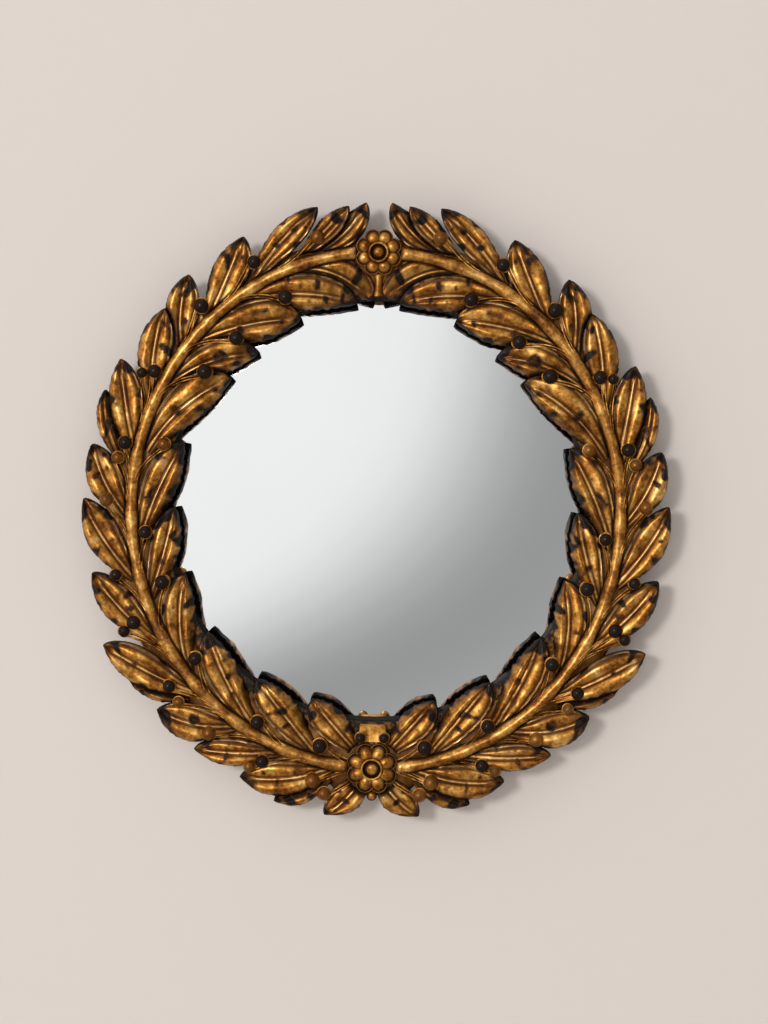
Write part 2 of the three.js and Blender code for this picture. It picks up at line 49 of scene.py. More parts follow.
MM = 0.001
HOOK_HEIGHT = 170.0  # of the hook's bearing point over the wreath's centre
GAP = 0.3
RUNNING_GAP = 0.35
GLASS_RADIUS = 143.0
GLASS_THICKNESS = 3.0
GLASS_CURVE = 450.0
SIGHT = GLASS_RADIUS - 6.0
RABBET = GLASS_RADIUS + 0.8
RING_RADIUS = RABBET + 28.7
RING_BACK = RING_RADIUS - 4.5
LAND_STEP = RING_BACK - 7.5
LAND_DEPTH = 3.0
BOARD_FRONT = LAND_DEPTH + 3.0
FOAM_WIDTH = 5.0
FOAM_BACK = BOARD_FRONT + GAP
FOAM_EDGE = 0.5
BUTTON_PIVOT = LAND_STEP - 8.0
HANGER_PIVOT = RING_RADIUS - 12.5
POCKET_WIDTH, POCKET_DEPTH = 25.0, 5.0
STRAP_WIDTH, STRAP_LENGTH, STRAP_THICKNESS = 10.0, 13.5, 1.0
POCKET_INNER = HANGER_PIVOT - STRAP_LENGTH + STRAP_WIDTH / 2 - 6.0
WIRE = 1.0
EYE_WALL = 0.7
WIRE_HEIGHT = POCKET_DEPTH - GAP - EYE_WALL - RUNNING_GAP - WIRE
BUTTON_SCREW = (1.5, 3.2, 0.9, 9.0)  # shank and head radius, head thickness, length
STRAP_SCREW = (1.4, 2.9, 0.8, 7.0)
STRAP_SCREW_DROP = 9.0

BACK_CURVE = GLASS_CURVE - GLASS_THICKNESS
SPHERE_MIDDLE = FOAM_BACK + FOAM_EDGE + GAP - sqrt(BACK_CURVE**2 - GLASS_RADIUS**2)
RABBET_FLOOR = SPHERE_MIDDLE + sqrt(GLASS_CURVE**2 - SIGHT**2) + GAP
RING_FRONT = RABBET_FLOOR + 4.5
BED = RING_FRONT + GAP

STEM_ACROSS, STEM_ALONG = SIGHT + 20.0, SIGHT + 29.0
STEM_HALF, STEM_RISE = 3.6, 11.5
LEAF_RISE = 9.5
ROSETTE_RISE = 12.5

# Sprigs of one half: (fork angle, leaves). A leaf is (base angle, base offset, tip angle, tip
# offset, half width, bow, share of the rise); offsets are measured out from the sight edge.
SPRIGS = (
    (0.5, ((1, 31, 8.8, 63.5, 10, -2.5, 0.95),)),
    (3, ((3, 21, 18, -8.5, 9.5, 0, 1),)),
    (8.5, ((9, 31, 26.3, 56, 11.5, -4.5, 1), (9, 39, 18.6, 62, 7.5, -2, 0.8),
           (13, 25, 34.5, -4, 10, 0, 1))),
    (20.6, ((20.6, 30, 36.6, 56.5, 9, -2, 1), (28, 24, 53.5, -3, 10, -2.5, 1))),
    (32.5, ((32.5, 29, 47, 54, 12, -4.5, 1),)),
    (44.5, ((44.5, 29, 63.1, 59, 11.5, -2, 1), (44, 35, 56.4, 55.5, 8, -2, 0.8),
            (48, 23, 71, -7.5, 10, -4.5, 1))),
    (58.5, ((58.5, 27, 77, 50, 11, -2.5, 1), (68, 20, 90.5, -7.5, 9, 1.5, 1))),
    (73.7, ((73.7, 24, 91.8, 52.5, 11.5, -2.5, 1), (82, 16, 109, -6, 10.5, -2.5, 1))),
    (88, ((88, 22, 102.7, 50, 11.5, -3.5, 1),)),
    (101.5, ((101.5, 20, 120.2, 53.5, 11, -1, 1), (100.5, 29, 113.5, 53.5, 7, -3.5, 0.8),
             (104, 15, 132, -11, 12, -6, 1))),
    (115, ((115, 21, 133.3, 50.5, 11, -3.5, 1), (121, 18, 142.4, -11, 10.5, -5.5, 1))),
    (128.8, ((128.8, 22, 141.1, 56, 10.5, -3.5, 1), (133, 21, 158, -4.5, 12.5, -3.5, 1))),
    (137.8, ((137.8, 25, 153.7, 58, 11.5, 0.5, 1), (143, 25, 174.2, -3, 11, -7.5, 1))),
    (151, ((151, 30, 168.5, 61, 9, -2.5, 1), (156, 29, 178.3, -2, 11, -10.5, 1))),
    (163, ((163, 33, 174.3, 59, 7, 0, 1), (165, 33, 177.6, 60.5, 8.5, 5, 0.9))),
)
STEM_END = 175.0

# Berries of one half: (angle, offset, radius)
BERRIES = (
    (3, 9, 3.4), (12.4, 41.5, 5), (9.6, 48.5, 4.4), (12.6, 18.5, 4.8),
    (23.6, 40.5, 4.4), (25.6, 47, 3.9), (28.5, 19, 4.5), (36.1, 42.5, 4.8),
    (45.2, 40, 3.5), (49, 37.5, 4.3), (50.1, 13, 4.5), (64.6, 34.5, 4.8),
    (63.8, 42.5, 3.9), (71, 7.5, 4.8), (75.6, 35, 3.9), (84.2, 11.5, 4.2),
    (91.9, 36, 4.5), (107.1, 5.5, 4.2), (104.8, 29.5, 4.5), (101.2, 32, 3.9),
    (121.9, 30.5, 4.5), (120.2, 37, 3.5), (128.8, 4.5, 5), (139.2, 35.5, 5),
    (140.7, 5.5, 4.7), (153.5, 40.5, 4.5), (156.6, 12, 4.7), (167.4, 42.5, 4.5),
)
TOP_ROSETTE = (180, 8, 15.2, 4.6, 5.6)  # angle, petals, reach, petal radius, boss radius
BOTTOM_ROSETTE = (0, 8, 17.0, 4.9, 6.2)

# ---- Small helpers ----


def smooth(low, high, value):
    share = np.clip((value - low) / (high - low), 0, 1)
    return share * share * (3 - 2 * share)


def bump_at(distance, middle, width):
    return np.exp(-(((distance - middle) / width) ** 2))


def waves(x, y, length, seed):
    """Soft random hills of about this wavelength, between about -1 and 1."""
    draw = np.random.default_rng(seed)
    total = np.zeros(np.broadcast(x, y).shape)
    for _ in range(9):
        turn = draw.uniform(0, 2 * pi)
        rate = 2 * pi / (length * draw.uniform(0.6, 1.6))
        phase = draw.uniform(0, 2 * pi)
        total += np.sin(rate * (x * cos(turn) + y * sin(turn)) + phase)
    return total / 3


def on_wreath(angle, offset):
    turn = np.radians(angle)
    reach = SIGHT + offset
    return np.stack([reach * np.sin(turn), -reach * np.cos(turn)], -1)


def stem_offset(angle):
    turn = np.radians(angle)
    return 1 / np.hypot(np.sin(turn) / STEM_ACROSS, np.cos(turn) / STEM_ALONG) - SIGHT


def on_stem(angle):
    return on_wreath(angle, stem_offset(angle))


def across_of(along):
    """Unit vectors square to these directions in the plan, to their left."""
    along = along / np.hypot(along[:, 0], along[:, 1])[:, None]
    return np.stack([-along[:, 1], along[:, 0]], -1)


def straight(start, end, share):
    return np.asarray(start) * (1 - share) + np.asarray(end) * share


def bezier(share, *points):
    while len(points) > 1:
        points = [straight(a, b, share) for a, b in zip(points, points[1:])]
    return points[0]


def arc(x, y, radius, turn):
    return np.stack([x + radius * np.cos(turn), y + radius * np.sin(turn)], -1)


def revolved(profile, segments, middle):
    """A profile of (radius, height) turned about an upright line; each point makes one row."""
    radius, height = np.split(np.asarray(profile, float), 2, 1)
    turn = np.arange(segments) / segments * 2 * pi
    return np.stack([middle[0] + radius * np.cos(turn), middle[1] + radius * np.sin(turn),
                     height + 0 * turn], -1)


def on_bed(flat, z):
    """A loop that runs over a line of plan points at these heights and back along the bed."""
    return np.vstack([np.column_stack([flat, BED + z]), [[*flat[-1], BED], [*flat[0], BED]]])


class Shells:
    """Closed shells that make up one piece, with a stain mark and a mark of painted shade and
    highlight on each point.

    A stain over 1 is a polished dark berry. Above 0 the shade mark paints shade in hollows, under
    overlaps and at the feet of parts; under 0 it paints a pale highlight on crests, which on the
    stem's top also stands for rubbed gold.
    """

    def __init__(self):
        self.points, self.faces, self.stain, self.shade_and_highlight = [], [], [], []
        self.count = 0

    def loft(self, rows, stain=0.0, shade_and_highlight=0.0, ring=False):
        """Skins rows of closed loops; the two ends are closed unless the rows make a ring."""
        rows = np.asarray(rows, float)
        n, m = rows.shape[:2]
        faces = []
        for i in range(n if ring else n - 1):
            j = (i + 1) % n
            faces += [(i * m + k, j * m + k, j * m + (k + 1) % m, i * m + (k + 1) % m)
                      for k in range(m)]
        points = rows.reshape(-1, 3)
        marks = [np.broadcast_to(mark, (n, m)).reshape(-1) for mark in (stain, shade_and_highlight)]
        if not ring:
            points = np.vstack([points, rows[0].mean(0), rows[-1].mean(0)])
            marks = [np.append(mark, [mark[0], mark[-1]]) for mark in marks]
            last = (n - 1) * m
            faces += [(k, (k + 1) % m, n * m) for k in range(m)]
            faces += [(last + k, n * m + 1, last + (k + 1) % m) for k in range(m)]
        self.points.append(points)
        self.faces += [tuple(i + self.count for i in face) for face in faces]
        self.stain.append(marks[0])
        self.shade_and_highlight.append(marks[1])
        self.count += len(points)

    def lathe(self, profile, segments, middle=(0, 0), stain=0.0, shade_and_highlight=0.0):
        """Turns a profile that ends on the axis; it may have one mark for each of its points."""
        stain, shade_and_highlight = (np.reshape(mark, (-1, 1)) for mark in (stain, shade_and_highlight))
        self.loft(revolved(profile, segments, middle), stain, shade_and_highlight)

    def spun(self, profile, segments, middle=(0, 0), stain=0.0, shade_and_highlight=0.0):
        """Turns a closed profile that stays clear of the axis into a ring."""
        self.loft(revolved(profile, segments, middle).swapaxes(0, 1), stain, shade_and_highlight, ring=True)

    def tube(self, path, radius, sides, shade_and_highlight=0.0):
        """A round rod along a path, whose radius may change along it."""
        along = np.gradient(path, axis=0)
        along /= np.linalg.norm(along, axis=1)[:, None]
        side = np.cross(along, (0.0, 0.0, 1.0))
        side /= np.linalg.norm(side, axis=1)[:, None]
        rise = np.cross(side, along)
        turn = (np.arange(sides) / sides * 2 * pi)[:, None]
        radius = np.broadcast_to(radius, (len(path),))[:, None, None]
        round_it = np.cos(turn) * side[:, None] + np.sin(turn) * rise[:, None]
        self.loft(path[:, None] + radius * round_it, 0.0, shade_and_highlight)

    def seat(self, order):
        """Lets the undersides down onto the ring, each at its own height so that none coincide."""
        for k, points in enumerate(self.points):
            level = RING_FRONT + 0.02 + 0.07 * (order % 4) + 0.006 * (k % 11)
            points[np.isclose(points[:, 2], BED), 2] = level


def in_scene(name, data):
    obj = bpy.data.objects.new(name, data)
    bpy.context.scene.collection.objects.link(obj)
    return obj


def make_object(name, shells, side=1, crease=None):
    """One mesh of the shells, placed in the CAD frame; side -1 mirrors it left to right."""
    x, y, z = (np.vstack(shells.points) * (side, 1, 1)).T
    mesh = bpy.data.meshes.new(name)
    places = np.stack([x, -z, y - HOOK_HEIGHT], -1) * MM
    mesh.from_pydata(places.tolist(), [], shells.faces)
    for label in ("stain", "shade_and_highlight"):
        values = np.concatenate(getattr(shells, label)).astype(np.float32)
        mesh.attributes.new(label, "FLOAT", "POINT").data.foreach_set("value", values)
    work = bmesh.new()
    work.from_mesh(mesh)
    bmesh.ops.recalc_face_normals(work, faces=work.faces)
    work.to_mesh(mesh)
    work.free()
    mesh.polygons.foreach_set("use_smooth", [True] * len(mesh.polygons))
    if crease:
        mesh.set_sharp_from_angle(angle=radians(crease))
    return in_scene(name, mesh)


def finish_piece(piece, slot, node, body="frame"):
    """Gives a piece its material and its body, and hides the CAD node that it stands for."""
    piece.data.materials.clear()
    piece.data.materials.append(MATERIALS[slot])
    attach(piece, body)
    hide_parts(node)
    return piece


def cut(piece, cutters):
    """Takes the cutters' volumes out of a piece and drops them."""
    for cutter in cutters:
        work = piece.modifiers.new("cut", "BOOLEAN")
        work.operation, work.solver, work.object = "DIFFERENCE", "EXACT", cutter
    bpy.context.view_layer.update()
    ready = piece.evaluated_get(bpy.context.evaluated_depsgraph_get())
    mesh = bpy.data.meshes.new_from_object(ready)
    piece.modifiers.clear()
    piece.data = mesh
    for cutter in cutters:
        bpy.data.objects.remove(cutter)


# ---- Materials ----


class Nodes:
    """Builds the node tree of a material or a world in short lines."""

    def __init__(self, name, kind="Material"):
        blocks = bpy.data.worlds if kind == "World" else bpy.data.materials
        self.block = blocks.new(name)
        self.block.use_nodes = True
        self.tree = self.block.node_tree
        self.tree.nodes.clear()
        self.output = self.tree.nodes.new(f"ShaderNodeOutput{kind}")
        self.coordinates = self.tree.nodes.new("ShaderNodeTexCoord").outputs
        self.place = self.coordinates["Object"]

    def new(self, kind, settings=None, **inputs):
        """Adds a node; its inputs are given by name, or by number as _0, _1 and so on."""
        node = self.tree.nodes.new("ShaderNode" + kind)
        for key, value in (settings or {}).items():
            setattr(node, key, value)
        for key, value in inputs.items():
            socket = node.inputs[int(key[1:]) if key[0] == "_" else key.replace("_", " ")]
            if isinstance(value, bpy.types.NodeSocket):
                self.tree.links.new(value, socket)
            else:
                socket.default_value = value
        return node

    def noise(self, scale, detail, roughness, distortion=0.0, place=None):
        node = self.new("TexNoise", Vector=place or self.place, Scale=scale,
                        Detail=detail, Roughness=roughness, Distortion=distortion)
        return node.outputs[0]

    def mark(self, name):
        return self.new("Attribute", {"attribute_name": name}).outputs["Fac"]

    def math(self, operation, a, b=0.0, c=0.0, clamp=False):
        settings = {"operation": operation, "use_clamp": clamp}
        return self.new("Math", settings, _0=a, _1=b, _2=c).outputs[0]

    def add(self, a, b, clamp=False):
        return self.math("ADD", a, b, clamp=clamp)

    def times(self, a, b):
        return self.math("MULTIPLY", a, b)

    def line(self, value, slope, start):
        return self.math("MULTIPLY_ADD", value, slope, start)

    def span(self, value, low, high, most=1.0):
        """Goes softly from 0 where the value is low to most where it is high."""
        return self.new("MapRange", {"interpolation_type": "SMOOTHSTEP"}, Value=value,
                        From_Min=low, From_Max=high, To_Max=most).outputs[0]

    def mix(self, share, a, b):
        node = self.new("Mix", {"data_type": "RGBA"}, _0=share, _6=a, _7=b)
        return node.outputs[2]

    def ramp(self, value, *stops):
        node = self.new("ValToRGB", Fac=value)
        ramp = node.color_ramp
        while len(ramp.elements) < len(stops):
            ramp.elements.new(0.5)
        for element, (place, color) in zip(ramp.elements, stops):
            element.position, element.color = place, (*color, 1)
        return node.outputs[0]

    def stretched(self, scale, turn):
        node = self.new("Mapping", Vector=self.place, Scale=scale, Rotation=turn)
        return node.outputs[0]

    def bump(self, height, strength, distance, normal=None):
        node = self.new("Bump", Height=height, Strength=strength, Distance=distance)
        if normal is not None:
            self.tree.links.new(normal, node.inputs["Normal"])
        return node.outputs[0]

    def finish(self, surface):
        self.tree.links.new(surface.outputs[0], self.output.inputs["Surface"])
        return self.block

    def shade(self, **inputs):
        return self.finish(self.new("BsdfPrincipled", **inputs))


def rgb(red, green, blue):
    return (red, green, blue, 1.0)


def gilt_material():
    """Old gold leaf over a dark ground, with painted shade in the hollows, a pale painted highlight
    on the crests, and stains near the edges.
    """
    n = Nodes("antique_gilt")
    broad, fine, grain = n.noise(75, 4, 0.6), n.noise(420, 4, 0.6), n.noise(2300, 3, 0.6)
    gold = n.ramp(n.add(n.times(broad, 0.66), n.times(fine, 0.34)),
                  (0.36, (0.110, 0.035, 0.006)), (0.45, (0.30, 0.110, 0.017)),
                  (0.54, (0.56, 0.262, 0.050)), (0.65, (0.90, 0.56, 0.20)))
    # Painted highlight: pale gold where the shade mark is below 0.
    gold = n.mix(n.span(n.mark("shade_and_highlight"), -0.05, -0.8, 0.75), gold, rgb(0.92, 0.70, 0.42))
    speck = n.span(n.add(grain, n.times(fine, 0.5)), 0.62, 0.52)
    gold = n.mix(n.times(speck, 0.4), gold, rgb(0.10, 0.038, 0.009))
    # Painted shade: brown, then near black, where the shade mark is high.
    shade_and_highlight = n.add(n.mark("shade_and_highlight"), n.line(fine, 0.6, -0.30), clamp=True)
    gold = n.mix(n.span(shade_and_highlight, 0.02, 0.55, 0.80), gold, rgb(0.095, 0.033, 0.008))
    gold = n.mix(n.span(shade_and_highlight, 0.45, 0.95, 0.95), gold, rgb(0.016, 0.008, 0.005))
    stained = n.add(n.mark("stain"), n.line(n.noise(150, 5, 0.6), 1.1, -0.55))
    gold = n.mix(n.span(stained, 0.14, 0.52, 0.80), gold, rgb(0.15, 0.052, 0.011))
    stain = n.span(stained, 0.42, 0.80)
    color = n.mix(n.times(stain, 0.985), gold, rgb(0.009, 0.005, 0.0035))
    dull = n.math("MAXIMUM", stain, n.span(shade_and_highlight, 0.3, 0.9))
    rough = n.add(n.times(fine, 0.26), n.line(dull, 0.10, 0.24))
    rough = n.math("SUBTRACT", rough, n.span(n.mark("stain"), 1.1, 1.6, 0.22))
    rough = n.add(rough, n.span(n.mark("shade_and_highlight"), 0.8, 1.0, 0.45), clamp=True)
    streaks = n.noise(900, 3, 0.5, place=n.stretched((1, 1, 0.25), (0.3, 0, 0.5)))
    relief = n.bump(n.noise(230, 4, 0.6), 0.13, 0.0012)
    relief = n.bump(n.add(grain, streaks), 0.20, 0.00012, relief)
    return n.shade(Base_Color=color, Metallic=n.line(dull, -0.74, 0.75), Roughness=rough,
                   Normal=relief, Specular_IOR_Level=0.12, Coat_Weight=0.02, Coat_Roughness=0.12)


def wood_material():
    """Fibreboard painted black brown, with gold wiped over the front between the leaves."""
    n = Nodes("painted_wood")
    fibre = n.noise(1400, 5, 0.7)
    paint = n.ramp(n.noise(60, 4, 0.6), (0.35, (0.008, 0.005, 0.004)),
                   (0.62, (0.021, 0.013, 0.008)))
    worn = n.times(n.mark("stain"), n.span(n.noise(180, 5, 0.65), 0.44, 0.60))
    color = n.mix(worn, paint, rgb(0.33, 0.15, 0.035))
    rub = n.span(n.noise(500, 5, 0.7), 0.62, 0.70)
    color = n.mix(n.times(rub, 0.5), color, rgb(0.085, 0.055, 0.034))
    return n.shade(Base_Color=color, Metallic=n.times(worn, 0.6),
                   Roughness=n.line(fibre, 0.30, 0.38), Specular_IOR_Level=0.16,
                   Normal=n.bump(fibre, 0.35, 0.00025))


def glass_material():
    """Silvered glass, faintly uneven, with a few dust specks."""
    n = Nodes("mirror_glass")
    dust = n.span(n.noise(1700, 2, 0.5), 0.80, 0.86)
    haze = n.noise(14, 3, 0.5)
    color = n.mix(haze, rgb(0.875, 0.885, 0.885), rgb(0.91, 0.915, 0.915))
    rough = n.add(n.line(haze, 0.02, 0.004), n.times(dust, 0.15))
    relief = n.bump(n.noise(5, 2, 0.4), 0.04, 0.002)
    return n.shade(Base_Color=color, Metallic=1.0, Roughness=rough, Normal=relief)


def foam_material():
    n = Nodes("foam")
    cells = n.new("TexVoronoi", Vector=n.place, Scale=1900.0).outputs["Distance"]
    color = n.ramp(n.noise(300, 4, 0.6), (0.3, (0.035, 0.035, 0.037)),
                   (0.7, (0.075, 0.075, 0.08)))
    return n.shade(Base_Color=color, Roughness=n.line(cells, 0.1, 0.86),
                   Normal=n.bump(cells, 0.6, 0.0003))


def board_material():
    """Hardboard from its rough side: pressed fibres with the mark of the wire screen."""
    n = Nodes("hardboard")
    fibre = n.noise(650, 6, 0.75, distortion=0.6, place=n.stretched((1, 1, 0.45), (0, 0.5, 0)))
    tone = n.add(n.times(fibre, 0.65), n.times(n.noise(22, 4, 0.6), 0.35))
    color = n.ramp(tone, (0.32, (0.125, 0.068, 0.032)), (0.52, (0.235, 0.140, 0.072)),
                   (0.68, (0.36, 0.235, 0.135)))
    wires = [n.new("TexWave", {"bands_direction": axis}, Vector=n.place, Scale=190.0)
             for axis in "XZ"]
    relief = n.bump(n.times(*[wire.outputs["Fac"] for wire in wires]), 0.35, 0.0004)
    return n.shade(Base_Color=color, Roughness=n.line(fibre, 0.2, 0.70),
                   Normal=n.bump(fibre, 0.45, 0.00025, relief))


def metal_material(name, dark, light, rough):
    """Plated sheet metal or wire with fine draw lines and dull spots."""
    n = Nodes(name)
    lines = n.noise(1500, 4, 0.6, place=n.stretched((0.12, 1, 1), (0, 0.4, 0)))
    spots = n.noise(240, 5, 0.65)
    return n.shade(Base_Color=n.ramp(spots, (0.34, dark), (0.60, light)), Metallic=1.0,
                   Roughness=n.line(n.add(lines, spots), 0.22, rough),
                   Normal=n.bump(lines, 0.18, 0.00008))


MATERIALS = {
    "antique_gilt": gilt_material(),
    "painted_wood": wood_material(),
    "mirror_glass": glass_material(),
    "foam": foam_material(),
    "hardboard": board_material(),
    "steel": metal_material("steel", (0.36, 0.36, 0.37), (0.60, 0.61, 0.62), 0.16),
    "brass": metal_material("brass", (0.42, 0.27, 0.09), (0.72, 0.52, 0.23), 0.14),
}

# ---- The wreath ----

LEAF_STEPS = 46
ACROSS_HALF = (0.0, 0.022, 0.05, 0.085, 0.13, 0.19, 0.27, 0.36, 0.46, 0.57, 0.68, 0.78, 0.86,
               0.92, 0.965, 1.0)
ACROSS = np.array([-s for s in ACROSS_HALF[:0:-1]] + list(ACROSS_HALF))
SHOULDER = 0.55  # where a lobe is highest, between the midrib at 0 and the edge at 1
TOOTH = 7.0  # length of a tooth of the free edge
RIB, RIB_GROOVE = (0, 0.62), (1.45, 0.5)  # distance from the middle and width
BEAD, BEAD_GROOVE = (0.75, 0.55), (2.3, 0.75)  # distance from the edge and width
NEAR = 75  # leaves with their middles further apart don't touch
STALK = 0.62  # radius of a berry's stalk
CREASE = 62  # edges of the ornament that turn by more degrees are sharp
BOX_SIDE, BOX_FOOT = 184, -192  # points beyond these are pressed in a little


def leaf_line(leaf, t):
    """Middle, unit vector across, both half widths along a leaf, and its length."""
    base_angle, base_offset, tip_angle, tip_offset, half, bow, _ = leaf
    base = on_wreath(base_angle, base_offset)
    reach = on_wreath(tip_angle, tip_offset) - base
    length = np.hypot(*reach)
    sideways = np.array([-reach[1], reach[0]]) / length
    middle = base + t[:, None] * reach + (bow * 4 * t * (1 - t))[:, None] * sideways
    across = across_of(reach + (bow * 4 * (1 - 2 * t))[:, None] * sideways)
    # The lobe towards the stem is the fuller one, with its shoulder near the tip.
    outer = tip_offset > base_offset
    growth, power, more = (1.6, 0.62, 1.08) if outer else (1.85, 0.52, 1.26)
    plain = np.sin(pi * np.minimum(1, t**1.38)) ** 0.76
    full = more * np.sin(pi * np.minimum(1, t**growth)) ** power
    sides = [np.maximum(half * (0.84 * belly + 0.34 * (1 - t)), 0.25) for belly in (full, plain)]
    left, right = sides if outer else sides[::-1]
    return middle, across, left, right, length


def leaf_outline(leaf):
    middle, across, left, right, _ = leaf_line(leaf, np.linspace(0, 1, 22))
    return np.vstack([middle + across * left[:, None], (middle - across * right[:, None])[::-1]])


def stem_clearance(points):
    """Distance from the stem's edge, negative under it."""
    angle = np.degrees(np.arctan2(np.abs(points[:, 0]), -points[:, 1]))
    away = np.abs(np.hypot(*points.T) - SIGHT - stem_offset(angle))
    return away - STEM_HALF * 1.12


def distance_outside(points, outline):
    """Distance of points from a closed outline, negative inside it."""
    start, end = outline, np.roll(outline, -1, 0)
    run = end - start
    rel = points[:, None] - start[None]
    share = np.clip((rel * run).sum(-1) / np.maximum((run * run).sum(-1), 1e-9), 0, 1)
    away = np.hypot(*np.moveaxis(rel - share[..., None] * run, -1, 0)).min(1)
    x, y = points[:, :1], points[:, 1:]
    rising = (start[:, 1] > y) != (end[:, 1] > y)
    slope = np.where(run[:, 1] == 0, 1e-9, run[:, 1])
    crossing = x < start[:, 0] + (y - start[:, 1]) * run[:, 0] / slope
    inside = (rising & crossing).sum(1) % 2 == 1
    return np.where(inside, -away, away)


ROSETTE_DISCS = [(on_stem(spec[0]), spec[2]) for spec in (TOP_ROSETTE, BOTTOM_ROSETTE)]


def inside_box(points):
    """Presses the outermost points in a little, so that they stay inside the CAD box."""
    points[:, 0] -= 0.26 * np.maximum(points[:, 0] - BOX_SIDE, 0)
    points[:, 1] += 0.22 * np.maximum(BOX_FOOT - points[:, 1], 0)
    return points


def leaf_shell(shells, leaf, seed, over):
    """One carved leaf: two lobes, a fine midrib and a bead on the edge towards the stem."""
    outer = leaf[3] > leaf[1]  # an outer leaf points away from the glass, an inner one over it
    stem_side = 1 if outer else -1
    t = np.linspace(0, 1, LEAF_STEPS)
    middle, across, left, right, length = leaf_line(leaf, t)
    run = t * length
    T, S = t[:, None], ACROSS[None, :]
    u = np.abs(S)
    free_half = S * stem_side < 0
    width = np.minimum(left, right)
    wide = np.where(S > 0, left[:, None], right[:, None])
    # The free edge is finely jagged, more so towards the glass.
    tooth = ((run + 1.3 * waves(run, 0 * run, 16, seed + 1)) / TOOTH + seed * 0.37) % 1.0
    jag = (0.35 if outer else 1.15) * (tooth**1.6 - 0.45)
    jag += 0.18 * waves(run, 0 * run, 2.6, seed + 2)
    jag *= smooth(0.1, 0.35, t) * smooth(0.3, 3, width)
    reach = S * wide + np.sign(S) * np.where(free_half, 1.0, 0.25) * u**3 * jag[:, None]
    flat = middle[:, None] + across[:, None] * reach[..., None]
    x, y = flat[..., 0], flat[..., 1]
    from_mid, from_edge = u * wide, (1 - u) * wide
    body = smooth(0.5, 4.0, width)[:, None]
    lobes = np.where(
        u < SHOULDER,
        0.70 + 0.30 * np.sin(pi / 2 * u / SHOULDER) ** 1.1,
        1 - 0.36 * np.clip((u - SHOULDER) / (1 - SHOULDER), 0, 1) ** 2.1,
    )
    rise = LEAF_RISE * leaf[6] * (0.80 + 0.24 * smooth(0, 0.45, T) - 0.20 * T**3)
    lobes = 1 - (1 - lobes) * body
    if not outer:  # thinner along the edge and the tip over the glass
        lobes = lobes - 0.42 * smooth(0.40, 1.0, S) * smooth(0, 0.3, T) * body
        rise = rise * (1 - 0.42 * smooth(0.74, 1.0, T))
    z = rise * lobes
    # One lobe is fuller than the other, and both roll softly along the leaf.
    z -= 1.28 * S * stem_side * (1 - u) * body
    roll = 0.50 * waves(x, y, 19, seed + 3) + 0.10 * waves(x, y, 7.5, seed + 4)
    z += roll * body * smooth(0.0, 0.25, u) * smooth(0, 0.2, T)
    rib = smooth(0.98, 0.80, T) * smooth(1.0, 4.0, width)[:, None]
    z += rib * (0.95 * bump_at(from_mid, *RIB) - 0.75 * bump_at(from_mid, *RIB_GROOVE))
    bead = (S * stem_side > 0) * smooth(0.02, 0.16, T) * smooth(1.0, 0.86, T) * body
    z += bead * (1.15 * bump_at(from_edge, *BEAD) - bump_at(from_edge, *BEAD_GROOVE))
    z -= (1 - bead) * 0.9 * np.exp(-from_edge / 0.9) + bead * 0.6 * np.exp(-from_edge / 0.25)
    # It dips where an earlier leaf, a rosette or the stem lies over it.
    points = flat.reshape(-1, 2)
    clear = np.full(len(points), 99.0)
    for outline in over:
        if np.hypot(*(outline.mean(0) - points.mean(0))) < NEAR:
            clear = np.minimum(clear, distance_outside(points, outline))
    for spot, radius in ROSETTE_DISCS:
        clear = np.minimum(clear, np.hypot(*(points - spot).T) - radius)
    clear = clear.reshape(z.shape)
    beside = stem_clearance(points).reshape(z.shape)
    z *= (0.16 + 0.84 * smooth(-0.9, 2.4, clear)) * (0.45 + 0.55 * smooth(-1.2, 1.0, beside))
    z = np.maximum(z, 0.8)
    # Stain near the tip and the free edge in soft patches; painted shade by the ribs, under
    # overlaps, beside the stem and at the base, and a painted highlight on the bead and midrib
    # crests.
    patch, dots = waves(x, y, 13, seed + 5), waves(x, y, 9, seed + 6)
    fringe = np.exp(-from_edge / 2.4) * np.where(free_half, 1.0, 0.55)
    tipped = 0.42 + 0.48 * np.random.default_rng(seed + 7).random()
    stain = tipped * smooth(0.68, 1.02, T + 0.08 * dots)
    stain += 0.95 * fringe * smooth(-0.7, 0.6, patch)
    stain += 0.72 * smooth(0.6, 1.25, patch) * smooth(0.25, 0.45, T)
    stain += 0.45 * smooth(0.9, 1.5, dots) * smooth(0.2, 0.4, T) * smooth(0.15, 0.4, u)
    stain = np.clip(stain + 0.9 * np.exp(-from_edge / 0.6) * (1 - bead), 0, 1)
    shade_and_highlight = 0.75 * rib * bump_at(from_mid, 1.45, 0.55) + 0.85 * bead * bump_at(from_edge, 2.4, 0.9)
    shade_and_highlight += smooth(3.2, 0.2, clear) + 0.38 * smooth(9.0, 1.0, clear)
    shade_and_highlight += 0.8 * smooth(1.6, 0.0, beside) + 0.25 * smooth(0.3, 0.0, T)
    shade_and_highlight = np.clip(shade_and_highlight + 0.12 * smooth(0.3, 0, u), 0, 1)
    # Painted highlight along the tops of the bead and the midrib, where no leaf lies over them.
    crest_highlight = 0.9 * bead * bump_at(from_edge, 0.75, 0.5) + 0.55 * rib * bump_at(from_mid, 0, 0.5)
    shade_and_highlight -= np.where(clear > 1.5, crest_highlight, 0)
